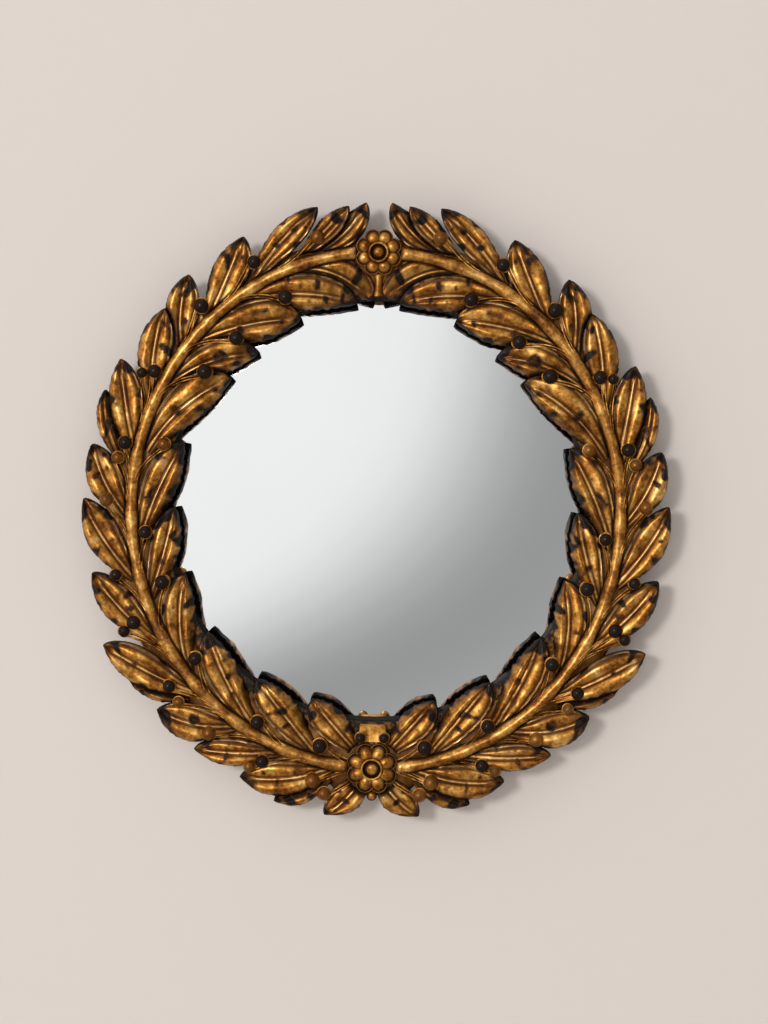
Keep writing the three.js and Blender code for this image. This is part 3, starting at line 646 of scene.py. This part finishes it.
    # Walls: round over, go down and close along the bed.
    rows, marks, shade_marks = [], [], []
    for i in range(LEAF_STEPS):
        first, last = flat[i, 0], flat[i, -1]
        pull = across[i] * min(1.2, 0.2 * width[i])
        rows.append(inside_box(np.vstack([
            np.column_stack([flat[i], BED + z[i]]),
            (*(last + 0.1 * pull), BED + 0.82 * z[i, -1]), (*last, BED + 0.3 * z[i, -1]),
            (*(last - pull), BED), (*(first + pull), BED),
            (*first, BED + 0.3 * z[i, 0]), (*(first - 0.1 * pull), BED + 0.82 * z[i, 0]),
        ])))
        # The walls are stained dark and in full painted shade; the underside of an outer leaf gets
        # a lighter stain and half the shade.
        under = 0.30 + 0.12 * dots[i, 0] if outer else 1.0
        marks.append([*stain[i], 1, 1, under, under, 1, 1])
        underside_shade = 0.5 if outer else 1
        shade_marks.append([*shade_and_highlight[i], 1, 1, underside_shade, underside_shade, 1, 1])
    shells.loft(rows, marks, shade_marks)


def stem_shell(shells, start, end, seed):
    """A stretch of the half-round stem, which widens towards its two forks."""
    t = np.linspace(0, 1, 16)
    middle = on_stem(start + (end - start) * t)
    across = across_of(np.gradient(middle, axis=0))
    half = STEM_HALF * (1 + 0.24 * (t**2.2 + smooth(0.26, 0.0, t) * (1 - t**2.2)))
    rise = STEM_RISE * (1 - 0.03 * np.sin(pi * t))
    s = np.sin(np.linspace(-pi / 2, pi / 2, 15))
    round_top = 0.50 + 0.50 * np.sqrt(np.clip(1 - s * s, 0, 1)) ** 0.9
    rows = []
    for i in range(len(t)):
        flat = middle[i] + across[i] * (s * half[i])[:, None]
        z = rise[i] * round_top + 0.22 * waves(flat[:, 0], flat[:, 1], 9, seed)
        for spot, radius in ROSETTE_DISCS:
            z = z * (0.45 + 0.55 * smooth(-2.0, 0.5, np.hypot(*(flat - spot).T) - radius))
        rows.append(on_bed(flat, z))
    # Painted shade along the stem's sides where it meets the leaves, and a faint pale crest along
    # its top: painted highlight, partly rubbed gold.
    shade_marks = smooth(0.72, 1.0, np.abs(s)) * 0.9 - 0.14 * smooth(0.8, 0.2, np.abs(s))
    shells.loft(rows, 0.0, [*shade_marks, 1, 1])


def web_shell(shells, start, end, seed):
    """The low ground that the leaves of a sprig grow out of."""
    place = np.linspace(0, 1, 15)
    rows = []
    for a in np.linspace(start, end, 14):
        low, high = 8.0, max(37.5 + 11.0 * bump_at(a, 5.5, 4.0), float(stem_offset(a)) + 7.0)
        flat = on_wreath(a, low + (high - low) * place)
        crown = 1.2 + 2.4 * np.sin(pi * place) ** 0.5
        z = crown + 0.45 * waves(flat[:, 0], flat[:, 1], 7, seed)
        rows.append(on_bed(flat, np.maximum(z, 0.4)))
    # A light stain and painted shade over all of the low ground.
    shells.loft(rows, 0.12, 0.56)


def berry_shell(shells, middle, size, dark):
    """A round berry in a beaded cup."""
    height = BED + LEAF_RISE + 1.4 - size / 2
    turn = np.linspace(-0.5, 0.5, 17)[1:-1] * pi
    ball = size * 0.99
    profile = [(0, height - ball)]
    profile += [(ball * cos(a), height + ball * sin(a)) for a in turn]
    profile += [(0, height + ball)]
    marks = [0.2, *(2 * dark * smooth(0.15, 0.72, np.sin(turn))), 2 * dark]
    # A light painted shade over the whole berry.
    shells.lathe(profile, 28, middle, marks, 0.15)
    level = height - 0.42 * size
    cup = [(0, BED), (0.72 * size, BED), (0.98 * size, level - 1.2)]
    cup += [(size + 0.5 * cos(a), level + 0.5 * sin(a))
            for a in np.linspace(-0.35, 1.0, 7) * pi]
    cup += [(0.80 * size, level - 0.8), (0, level - 1.0)]
    # Painted shade under and inside the cup; its beaded lip gets only a little.
    shells.lathe(cup, 28, middle, 0.0, [1, 1, 0.6] + [0.1] * 7 + [1, 1])


def stalk_shell(shells, tree, berry):
    """Twin stalks from a berry down to the stem, lying on the leaves."""
    angle, offset, size = berry
    stem = float(stem_offset(angle - 7))
    outward = 1 if offset > stem else -1
    t = np.linspace(0, 1, 22)
    a = angle - degrees(0.8 * size / (SIGHT + offset)) - (5.0 + 0.26 * abs(offset - stem)) * t
    r = offset + (stem + outward * 2.4 - offset) * (1 - (1 - t) ** 1.7)
    for apart in (-1, 1):
        flat = on_wreath(a, r + apart * (0.136 * size * (1 - t) + STALK))
        heights = []
        for x, y in flat:
            hit = tree.ray_cast(Vector((x, y, 60.0)), Vector((0, 0, -1)))[0]
            heights.append(hit.z if hit else BED + 4)
        padded = np.pad(heights, 3, mode="edge")
        heights = np.maximum(heights, np.convolve(padded, np.ones(7) / 7, "valid"))
        path = np.column_stack([flat, heights + 0.05])
        # A light painted shade along the stalks.
        shells.tube(path, STALK * (1 - 0.35 * t), 8, 0.1)


def tree_of(shells_list):
    points, faces, count = [], [], 0
    for shells in shells_list:
        points += shells.points
        faces += [tuple(i + count for i in face) for face in shells.faces]
        count += shells.count
    return BVHTree.FromPolygons(np.vstack(points).tolist(), faces)


def berry_owner(berry):
    """The sprig whose leaf lies under the berry."""
    spot = on_wreath(berry[0], berry[1])[None]
    best, owner = 1e9, 0
    for i, (_, leaves) in enumerate(SPRIGS):
        for leaf in leaves:
            away = float(distance_outside(spot, leaf_outline(leaf))[0])
            if away < best - 0.5:
                best, owner = away, i
    return owner


def build_wreath():
    outlines = [[leaf_outline(leaf) for leaf in leaves] for _, leaves in SPRIGS]
    sprigs = []
    for i, (fork, leaves) in enumerate(SPRIGS):
        shells = Shells()
        end = SPRIGS[i + 1][0] if i + 1 < len(SPRIGS) else STEM_END
        stem_shell(shells, fork, end, 900 + i)
        web_shell(shells, fork, end, 960 + i)
        earlier = [line for group in outlines[max(0, i - 3):i] for line in group]
        for j, leaf in enumerate(leaves):
            leaf_shell(shells, leaf, 40 * i + 13 * j, earlier + outlines[i][:j])
        sprigs.append(shells)
    tree = tree_of(sprigs)
    for k, berry in enumerate(BERRIES):
        shells = sprigs[berry_owner(berry)]
        if k > 0:  # the first one sits by the rosette and has no stalks
            stalk_shell(shells, tree, berry)
        dark = 1.0 if rng.random() < 0.66 else 0.24
        berry_shell(shells, on_wreath(berry[0], berry[1]), berry[2], dark)
    for i, shells in enumerate(sprigs):
        shells.seat(i)
        for word, side in (("right", 1), ("left", -1)):
            node = f"sprig_{word}_{i + 1:02d}"
            finish_piece(make_object(f"{node}_relief", shells, side, CREASE), "antique_gilt", node)


def dome(radius, base, top, steps=9):
    """A round-shouldered dome profile from its wall up to the axis."""
    turn = np.linspace(0, pi / 2, steps)
    return [(radius * cos(a), base + (top - base) * sin(a)) for a in turn[:-1]] + [(0, top)]


def build_rosette(spec, node):
    angle, petals, reach, petal, boss = spec
    top = spec is TOP_ROSETTE
    middle = on_stem(angle)
    shells = Shells()
    ground = BED + 0.52 * ROSETTE_RISE
    disc = [(0, BED), (reach * 0.80, BED), (reach * 0.80, ground), (0, ground)]
    # The ground between the petals, stained dark and in full painted shade.
    shells.lathe(disc, 48, middle, 0.9, 1.0)
    # Each petal: a dark scalloped rim, stained and in painted shade but for its thin bright top
    # edge, and a soft gold dome on it, stained and in painted shade at its foot.
    step = 2 * pi / petals
    rim = (reach - petal * 0.62) * sin(step / 2) * 1.12
    edge = BED + 0.60 * ROSETTE_RISE
    scallop = [(0, BED), (rim * 0.93, BED), (rim, edge - 1.2), (rim, edge - 0.3),
               (rim - 0.3, edge), (rim - 0.75, edge - 0.1), (rim - 1.3, edge - 0.9),
               (0, edge - 0.9)]
    size = rim * (0.84 if top else 0.78)
    petal_dome = [(0, BED), (size, BED)] + dome(size, edge - 0.6, BED + 0.86 * ROSETTE_RISE, 11)
    share = np.linspace(0, 1, 11)
    marks = [1, 1, *(0.7 * (1 - smooth(0.0, 0.25, share)))]
    shade_marks = [1, 1, *(0.75 * (1 - smooth(0.05, 0.75, share)))]
    for i in range(petals):
        turn = (i + 0.5) * step
        out = np.array([cos(turn), sin(turn)])
        shells.lathe(scallop, 30, middle + (reach - rim) * out, [1, 1, 1, 0.7, 0.36, 0.6, 1, 1],
                     [1, 1, 1, 0.6, 0.3, 0.6, 1, 1])
        spot = middle + (reach - rim - 0.55) * out
        shells.lathe(petal_dome, 28, spot, marks, shade_marks)
        if not top:  # oval petals, long towards the middle
            rel = shells.points[-1][:, :2] - spot
            along = (rel @ out)[:, None] * out
            shells.points[-1][:, :2] = spot + 1.28 * along + 0.96 * (rel - along) - 0.9 * out
    if not top:  # a small ninth petal under the others
        spot = middle - (0, reach + 1.2)
        # Its wall is stained and in painted shade; the foot of its dome is in painted shade too.
        shells.lathe([(0, BED), (3.4, BED), (3.4, BED + 5.0), (3.0, BED + 5.4), (0, BED + 5.4)], 30,
                     spot, 0.9, 1.0)
        shells.lathe([(0, BED), (2.8, BED)] + dome(2.8, BED + 4.6, BED + 7.6, 9), 28, spot,
                     0.1, [1, 1] + [0.5] * 3 + [0.0] * 6)
    # The boss in its collar; the drum's side is stained and in painted shade, as is the foot of its
    # dome, and the collar's bead gets a faint painted shade.
    collar = boss + 0.25
    turn = np.linspace(0, 2 * pi, 13)[:-1]
    bead = arc(collar, BED + 0.94 * ROSETTE_RISE, 0.72, turn)
    shells.spun(bead, 56, middle, 0.0, 0.05)
    high = BED + 0.90 * ROSETTE_RISE
    drum = [(0, BED), (collar + 0.4, BED), (collar + 0.4, high), (boss * 0.92, high - 0.3),
            (boss * 0.84, high - 1.6)]
    drum += dome(boss * 0.70, high - 2.2, BED + 0.98 * ROSETTE_RISE, 11)
    marks = [1, 1, 0.8, 0.9, 1.0, *(0.8 * (1 - smooth(0.0, 0.3, share)))]
    shade_marks = [1, 1, 1, 1, 1, *(0.8 * (1 - smooth(0.0, 0.8, share)))]
    shells.lathe(drum, 48, middle, marks, shade_marks)
    rows = []
    if top:
        web_shell(shells, angle - 5.5, angle + 5.5, 990)
        # A narrow tab runs from the rosette down to the sight edge.
        section = ((-1, 0), (-1, 3.4), (-0.5, 4.6), (0, 4.9), (0.5, 4.6), (1, 3.4), (1, 0))
        for share in np.linspace(0, 1, 12):
            y = SIGHT + 15 - 13.8 * share
            half = 2.0 + 2.2 * share**3 + 1.2 * (1 - share) ** 3
            rows.append([(s * half, y, BED + h) for s, h in section])
        # A light stain and painted shade on the tab.
        shells.loft(rows, 0.15, 0.2)
    else:
        web_shell(shells, -0.7, 0.7, 991)
        # A plain stretch of rim shows over the rosette, between the first leaves.
        inner, outer = SIGHT + 1.4, SIGHT + 12.0
        section = ((inner, 0.0), (inner, 2.6), (inner + 0.8, 3.4), (outer, 5.4), (outer, 0.0))
        for a in np.radians(np.linspace(-3.4, 3.4, 14)):
            rows.append([(r * sin(a), -r * cos(a), BED + h) for r, h in section])
        shells.loft(rows)
    shells.seat(1)
    finish_piece(make_object(f"{node}_carved", shells, 1, CREASE), "antique_gilt", node)


# ---- Ring, glass, foam, board ----


def round_cutter(radius, low, high, spot, segments=32):
    shells = Shells()
    shells.lathe([(0, low), (radius, low), (radius, high), (0, high)], segments, spot)
    return make_object("cutter", shells)


def prism_cutter(outline, low, high):
    shells = Shells()
    shells.loft([[(*p, h) for p in outline] for h in (low, high)])
    return make_object("cutter", shells)


def button_spots():
    turns = [radians(45 + 90 * i) for i in range(4)]
    return [(turn, BUTTON_PIVOT * np.array([cos(turn), sin(turn)])) for turn in turns]


def build_ring():
    shells = Shells()
    r = 0.6  # rounding of the painted edges
    profile = [
        (RABBET, LAND_DEPTH), (LAND_STEP, LAND_DEPTH), (LAND_STEP, r), (LAND_STEP + r, 0),
        (RING_BACK - r, 0), (RING_BACK, r), (RING_RADIUS - 0.25 * r, RING_FRONT - 2 * r),
        (RING_RADIUS - 0.3 * r, RING_FRONT - r), (RING_RADIUS - r, RING_FRONT),
        (RING_RADIUS - 12, RING_FRONT), (RABBET + 8, RING_FRONT), (SIGHT + r, RING_FRONT),
        (SIGHT, RING_FRONT - r), (SIGHT, RABBET_FLOOR), (RABBET, RABBET_FLOOR),
    ]
    shells.spun(profile, 240, stain=[0] * 8 + [0.3, 1, 1, 0.5, 0, 0, 0])
    ring = make_object("carrier_ring_turned", shells)
    half, far = POCKET_WIDTH / 2, 2 * RING_RADIUS - POCKET_INNER
    pocket = [(-half, POCKET_INNER), (half, POCKET_INNER), (half, far), (-half, far)]
    cutters = [prism_cutter(pocket, -POCKET_DEPTH, POCKET_DEPTH)]
    for _, spot in button_spots():
        cutters.append(round_cutter(BUTTON_SCREW[0] + GAP, -1, BUTTON_SCREW[3] + GAP, spot))
    hole = (0, HANGER_PIVOT - STRAP_SCREW_DROP)
    cutters.append(round_cutter(STRAP_SCREW[0] + GAP, 1, POCKET_DEPTH + STRAP_SCREW[3], hole))
    cut(ring, cutters)
    ring.data.set_sharp_from_angle(angle=radians(35))
    finish_piece(ring, "painted_wood", "carrier_ring")


def sphere(curve, r):
    """Height of a sphere about the glass's centre, at this distance from the axis."""
    return SPHERE_MIDDLE + sqrt(curve**2 - r * r)


def build_glass():
    shells = Shells()
    reach = np.linspace(0, 1, 49) * GLASS_RADIUS
    front, back = ([(r, sphere(curve, r)) for r in reach] for curve in (GLASS_CURVE, BACK_CURVE))
    ease = 0.3  # the ground edge of the glass
    front[-1] = (GLASS_RADIUS - ease, front[-1][1])
    rim = [(GLASS_RADIUS, front[-1][1] - ease), (GLASS_RADIUS, back[-1][1] + ease)]
    back[-1] = (GLASS_RADIUS - ease, back[-1][1])
    shells.lathe(front + rim + back[::-1], 256)
    glass = make_object("convex_glass_dome", shells, crease=40)
    return finish_piece(glass, "mirror_glass", "convex_glass")


def build_foam_and_board():
    inner = GLASS_RADIUS - FOAM_WIDTH
    shells = Shells()
    profile = [(inner + 0.2, FOAM_BACK), (GLASS_RADIUS - 0.1, FOAM_BACK),
               (GLASS_RADIUS, FOAM_BACK + 0.15),
               (GLASS_RADIUS, sphere(BACK_CURVE, GLASS_RADIUS) - GAP)]
    profile += [(r, sphere(BACK_CURVE, r) - GAP - (GLASS_RADIUS - r) / FOAM_WIDTH * GAP)
                for r in np.linspace(GLASS_RADIUS - 1, inner + 0.4, 5)]
    profile += [(inner, sphere(BACK_CURVE, inner) - 2.4 * GAP), (inner, FOAM_BACK + 0.2)]
    shells.spun(profile, 200)
    finish_piece(make_object("foam_ring_soft", shells, crease=50), "foam", "foam_ring")
    shells = Shells()
    r = 0.35
    shells.lathe([(0, LAND_DEPTH), (60, LAND_DEPTH), (GLASS_RADIUS - r, LAND_DEPTH),
                  (GLASS_RADIUS, LAND_DEPTH + r), (GLASS_RADIUS, BOARD_FRONT - r),
                  (GLASS_RADIUS - r, BOARD_FRONT), (60, BOARD_FRONT), (0, BOARD_FRONT)], 240)
    board = make_object("backing_board_disc", shells, crease=30)
    finish_piece(board, "hardboard", "backing_board")


# ---- Fittings at the back ----


def plate(shells, outline, hole_radius, hole_spot, low, high, bevel=0.18):
    """A flat tab of this outline with a round hole and eased edges."""
    rel = outline - hole_spot
    hole = arc(*hole_spot, hole_radius, np.arctan2(rel[:, 1], rel[:, 0]))
    rows = []
    for edge, bore in zip(outline, hole):
        inward = (bore - edge) / np.hypot(*(bore - edge))
        eased, lip = edge + inward * bevel, bore - inward * bevel
        rows.append([(*edge, low + bevel), (*edge, high - bevel), (*eased, high), (*lip, high),
                     (*bore, high - bevel), (*bore, low + bevel), (*lip, low), (*eased, low)])
    shells.loft(rows, ring=True)


def rounded_tab(left, right, half):
    """The outline of a tab with two round ends."""
    turn = np.linspace(-pi / 2, pi / 2, 20)
    ahead, behind = arc(right, 0, half, turn), arc(left, 0, -half, turn)
    share = np.linspace(0, 1, 8)[1:-1, None]
    return np.vstack([ahead, straight(ahead[-1], behind[0], share), behind,
                      straight(behind[-1], ahead[0], share)])


def turned_to(outline, turn, spot):
    c, s = cos(turn), sin(turn)
    return outline @ np.array([[c, s], [-s, c]]) + spot


def build_screw(spec, seat, spot, node, turn):
    shank, head, thick, length = spec
    shells = Shells()
    profile = [(0, seat - thick)]
    profile += [(head * sin(a), seat - thick * (0.35 + 0.65 * cos(a)))
                for a in np.linspace(0.12, pi / 2, 9)]
    profile += [(head, seat), (shank * 1.15, seat), (shank, seat + 0.5)]
    pitch = 1.1
    thread = seat + 1.0
    while thread < length - 2 * shank:
        profile += [(shank * 0.78, thread), (shank * 0.78, thread + 0.45 * pitch),
                    (shank, thread + 0.72 * pitch)]
        thread += pitch
    profile += [(shank * 0.7, length - shank), (0, length)]
    shells.lathe(profile, 32, spot)
    screw = make_object(f"{node}_head", shells)
    arm, half = head * 0.56, head * 0.085  # of the cross slot
    cutters = []
    for quarter in (0, pi / 2):
        slot = np.array([(-arm, -half), (arm, -half), (arm, half), (-arm, half)])
        cutters.append(prism_cutter(turned_to(slot, turn + quarter, spot), seat - thick - 1,
                                    seat - 0.45 * thick))
    cut(screw, cutters)
    screw.data.set_sharp_from_angle(angle=radians(38))
    finish_piece(screw, "steel", node)


def build_buttons():
    high = LAND_DEPTH - GAP
    low = high - 1.2
    half = 4.5
    tab = rounded_tab(half - 16.0, 5.0 - half, half)
    for i, (turn, spot) in enumerate(button_spots()):
        shells = Shells()
        plate(shells, turned_to(tab, turn, spot), BUTTON_SCREW[0] + RUNNING_GAP, spot, low, high)
        node = f"turn_button_{i + 1}"
        finish_piece(make_object(f"{node}_tab", shells, crease=35), "brass", node, node)
        build_screw(BUTTON_SCREW, low - GAP, spot, f"button_screw_{i + 1}", 0.4 + 1.1 * i)


def build_hanger():
    # Strap: a plate with a rounded end and a rolled eye that the ring turns in.
    shells = Shells()
    front = POCKET_DEPTH - GAP
    half = STRAP_WIDTH / 2
    turn = np.linspace(0, -pi, 20)
    tail = half - STRAP_LENGTH
    share = np.linspace(0, 1, 8)[1:, None]
    outline = np.vstack([arc(0, tail, half, turn), straight((-half, tail), (-half, 0), share),
                         straight((-half, 0), (half, 0), share),
                         straight((half, 0), (half, tail), share[:-1])]) + (0, HANGER_PIVOT)
    hole = np.array([0, HANGER_PIVOT - STRAP_SCREW_DROP])
    plate(shells, outline, STRAP_SCREW[0] + GAP, hole, front - STRAP_THICKNESS, front, 0.15)
    bore, wall = WIRE + RUNNING_GAP, WIRE + RUNNING_GAP + EYE_WALL
    section = ((-half, bore + 0.1), (-half + 0.1, bore), (half - 0.1, bore), (half, bore + 0.1),
               (half, wall - 0.12), (half - 0.12, wall), (-half + 0.12, wall),
               (-half, wall - 0.12))
    shells.loft([[(x, HANGER_PIVOT + r * cos(a), WIRE_HEIGHT + r * sin(a))
                  for x, r in section] for a in np.linspace(0, 2 * pi, 41)[:-1]], ring=True)
    finish_piece(make_object("hanger_strap_plate", shells, crease=35), "steel", "hanger_strap")
    seat = POCKET_DEPTH - GAP - STRAP_THICKNESS - GAP
    build_screw(STRAP_SCREW, seat, hole, "hanger_screw", 0.7)
    # The wire ring: a bar through the eye and a bow over it.
    wide, bend, tall, butt = 8.0, 2.6, 11.0, 0.2
    handle = (4 * tall - bend) / 3
    share = np.linspace(0, 1, 9)[:, None]
    half_path = np.vstack([
        straight((butt, 0), (wide - bend, 0), share),
        bezier(share[1:], (wide - bend, 0), (wide, 0), (wide, bend)),
    ])
    bow = bezier(np.linspace(0, 1, 49)[1:-1, None], (wide, bend), (wide, handle),
                 (-wide, handle), (-wide, bend))
    flat = np.vstack([half_path, bow, half_path[::-1] * (-1, 1)]) + (0, HANGER_PIVOT)
    shells = Shells()
    shells.tube(np.column_stack([flat, np.full(len(flat), WIRE_HEIGHT)]), WIRE, 20)
    ring = make_object("hanger_ring_wire", shells, crease=60)
    finish_piece(ring, "steel", "hanger_ring", "hanger_ring")


build_wreath()
build_rosette(TOP_ROSETTE, "rosette_top")
build_rosette(BOTTOM_ROSETTE, "rosette_bottom")
build_ring()
glass = build_glass()
build_foam_and_board()
build_buttons()
build_hanger()

# ---- Stage, light and camera ----

WALL_COLOR = rgb(0.683, 0.624, 0.584)
FLOOR_COLOR = rgb(0.72, 0.68, 0.64)
WALL_SPOT, FLOOR_HEIGHT = 0.0006, -1.5  # metres
WALL_CORNERS = ((-4, FLOOR_HEIGHT), (4, FLOOR_HEIGHT), (4, 3), (-4, 3))
FLOOR_CORNERS = ((-20, -20), (20, -20), (20, 20), (-20, 20))


def plane(name, corners, material):
    mesh = bpy.data.meshes.new(name)
    mesh.from_pydata(corners, [], [(0, 1, 2, 3)])
    mesh.materials.append(material)
    obj = in_scene(name, mesh)
    return obj


def wall_material():
    """Pale matt plaster that shows to the camera and in reflections from its front only."""
    n = Nodes("wall")
    color = n.mix(n.times(n.noise(9, 4, 0.5), 0.06), WALL_COLOR, rgb(0.66, 0.60, 0.55))
    surface = n.new("BsdfPrincipled", Base_Color=color, Roughness=0.85,
                    Normal=n.bump(n.noise(260, 5, 0.6), 0.10, 0.0006), Specular_IOR_Level=0.2)
    rays = n.new("LightPath").outputs
    seen = n.add(rays["Is Camera Ray"], rays["Is Glossy Ray"])
    seen = n.add(seen, rays["Is Transmission Ray"], clamp=True)
    front = n.math("SUBTRACT", 1.0, n.new("NewGeometry").outputs["Backfacing"])
    clear = n.new("BsdfTransparent")
    return n.finish(n.new("MixShader", _0=n.times(seen, front), _1=clear.outputs[0],
                          _2=surface.outputs[0]))


def floor_material():
    n = Nodes("floor")
    color = n.mix(n.noise(3, 3, 0.5), FLOOR_COLOR, rgb(0.69, 0.65, 0.61))
    return n.shade(Base_Color=color, Roughness=0.8)


plane("wall", [(x, WALL_SPOT, z) for x, z in WALL_CORNERS], wall_material())
floor = plane("floor", [(x, y, FLOOR_HEIGHT) for x, y in FLOOR_CORNERS], floor_material())
floor.visible_glossy = False

# Grey levels of the room, by how far a direction lies to the lower right.
ROOM_TONES = ((0.14, 0.948), (0.284, 0.936), (0.372, 0.924), (0.436, 0.895), (0.50, 0.83),
              (0.564, 0.73), (0.628, 0.611), (0.692, 0.495), (0.756, 0.405), (0.82, 0.352),
              (0.90, 0.342), (1.0, 0.38))


def room_world():
    """The room as the mirror shows it: bright to the upper left, grey to the lower right."""
    n = Nodes("room", "World")
    parts = n.new("SeparateXYZ", _0=n.coordinates["Generated"]).outputs
    aside, up = parts[0], parts[2]
    # 0.5 + 0.647 x - 0.470 z + 0.48 x z + 0.32 z z
    bend = n.line(up, 0.32, n.line(aside, 0.48, -0.470))
    slant = n.line(up, bend, n.line(aside, 0.647, 0.5))
    glow = n.ramp(slant, *[(spot, (level, level, level)) for spot, level in ROOM_TONES])
    glow.node.color_ramp.interpolation = "CARDINAL"
    room = n.new("Background", _0=glow, _1=1.0)
    pale = n.new("Background", _0=rgb(0.80, 0.77, 0.74), _1=1.0)
    seen = n.new("LightPath").outputs["Is Camera Ray"]
    return n.finish(n.new("MixShader", _0=seen, _1=room.outputs[0], _2=pale.outputs[0]))


MIDDLE = Vector((0, -0.02, -HOOK_HEIGHT * MM))


def from_middle(right, up, distance):
    """A spot seen from the mirror's middle at these angles to its normal, in degrees."""
    a, b = radians(right), radians(up)
    return MIDDLE + distance * Vector((sin(a) * cos(b), -cos(a) * cos(b),
                                       sin(b)))


KEY_RIGHT, KEY_UP, KEY_DISTANCE = -24, 13, 5.0
KEY_SIZE, KEY_WATTS, KEY_COLOR = 1.0, 98, (1.0, 0.985, 0.965)
CAMERA_RIGHT, CAMERA_UP, CAMERA_DISTANCE, CAMERA_ROLL = 2.0, 4.5, 1.6, 0.78
PIXEL = 0.643 * MM  # the size that one pixel of the photograph shows
PHOTO_HEIGHT = 1024
AIM_RIGHT = 8.5  # pixels from the mirror's middle to the photograph's
SENSOR = 36.0

bpy.context.scene.world = room_world()

lamp = bpy.data.lights.new("key", "AREA")
lamp.shape, lamp.size, lamp.energy, lamp.color = "DISK", KEY_SIZE, KEY_WATTS, KEY_COLOR
key = in_scene("key", lamp)
key.location = from_middle(KEY_RIGHT, KEY_UP, KEY_DISTANCE)
key.rotation_euler = (MIDDLE - key.location).to_track_quat("-Z", "Y").to_euler()
# The key lamp itself isn't mirrored in the glass.
spared = bpy.data.collections.new("spared_by_key")
key.light_linking.receiver_collection = spared
spared.objects.link(glass)
spared.collection_objects[0].light_linking.link_state = "EXCLUDE"

lens = bpy.data.cameras.new("camera")
lens.sensor_width = SENSOR
lens.lens = SENSOR * CAMERA_DISTANCE / (PHOTO_HEIGHT * PIXEL)
camera = in_scene("camera", lens)
camera.location = from_middle(CAMERA_RIGHT, CAMERA_UP, CAMERA_DISTANCE)
look = MIDDLE + Vector((AIM_RIGHT * PIXEL, 0, 0)) - camera.location
camera.rotation_mode = "QUATERNION"
camera.rotation_quaternion = look.to_track_quat("-Z", "Y") @ Quaternion(
    (0, 0, 1), radians(CAMERA_ROLL))
bpy.context.scene.camera = camera
bpy.context.scene.view_settings.view_transform = "Standard"
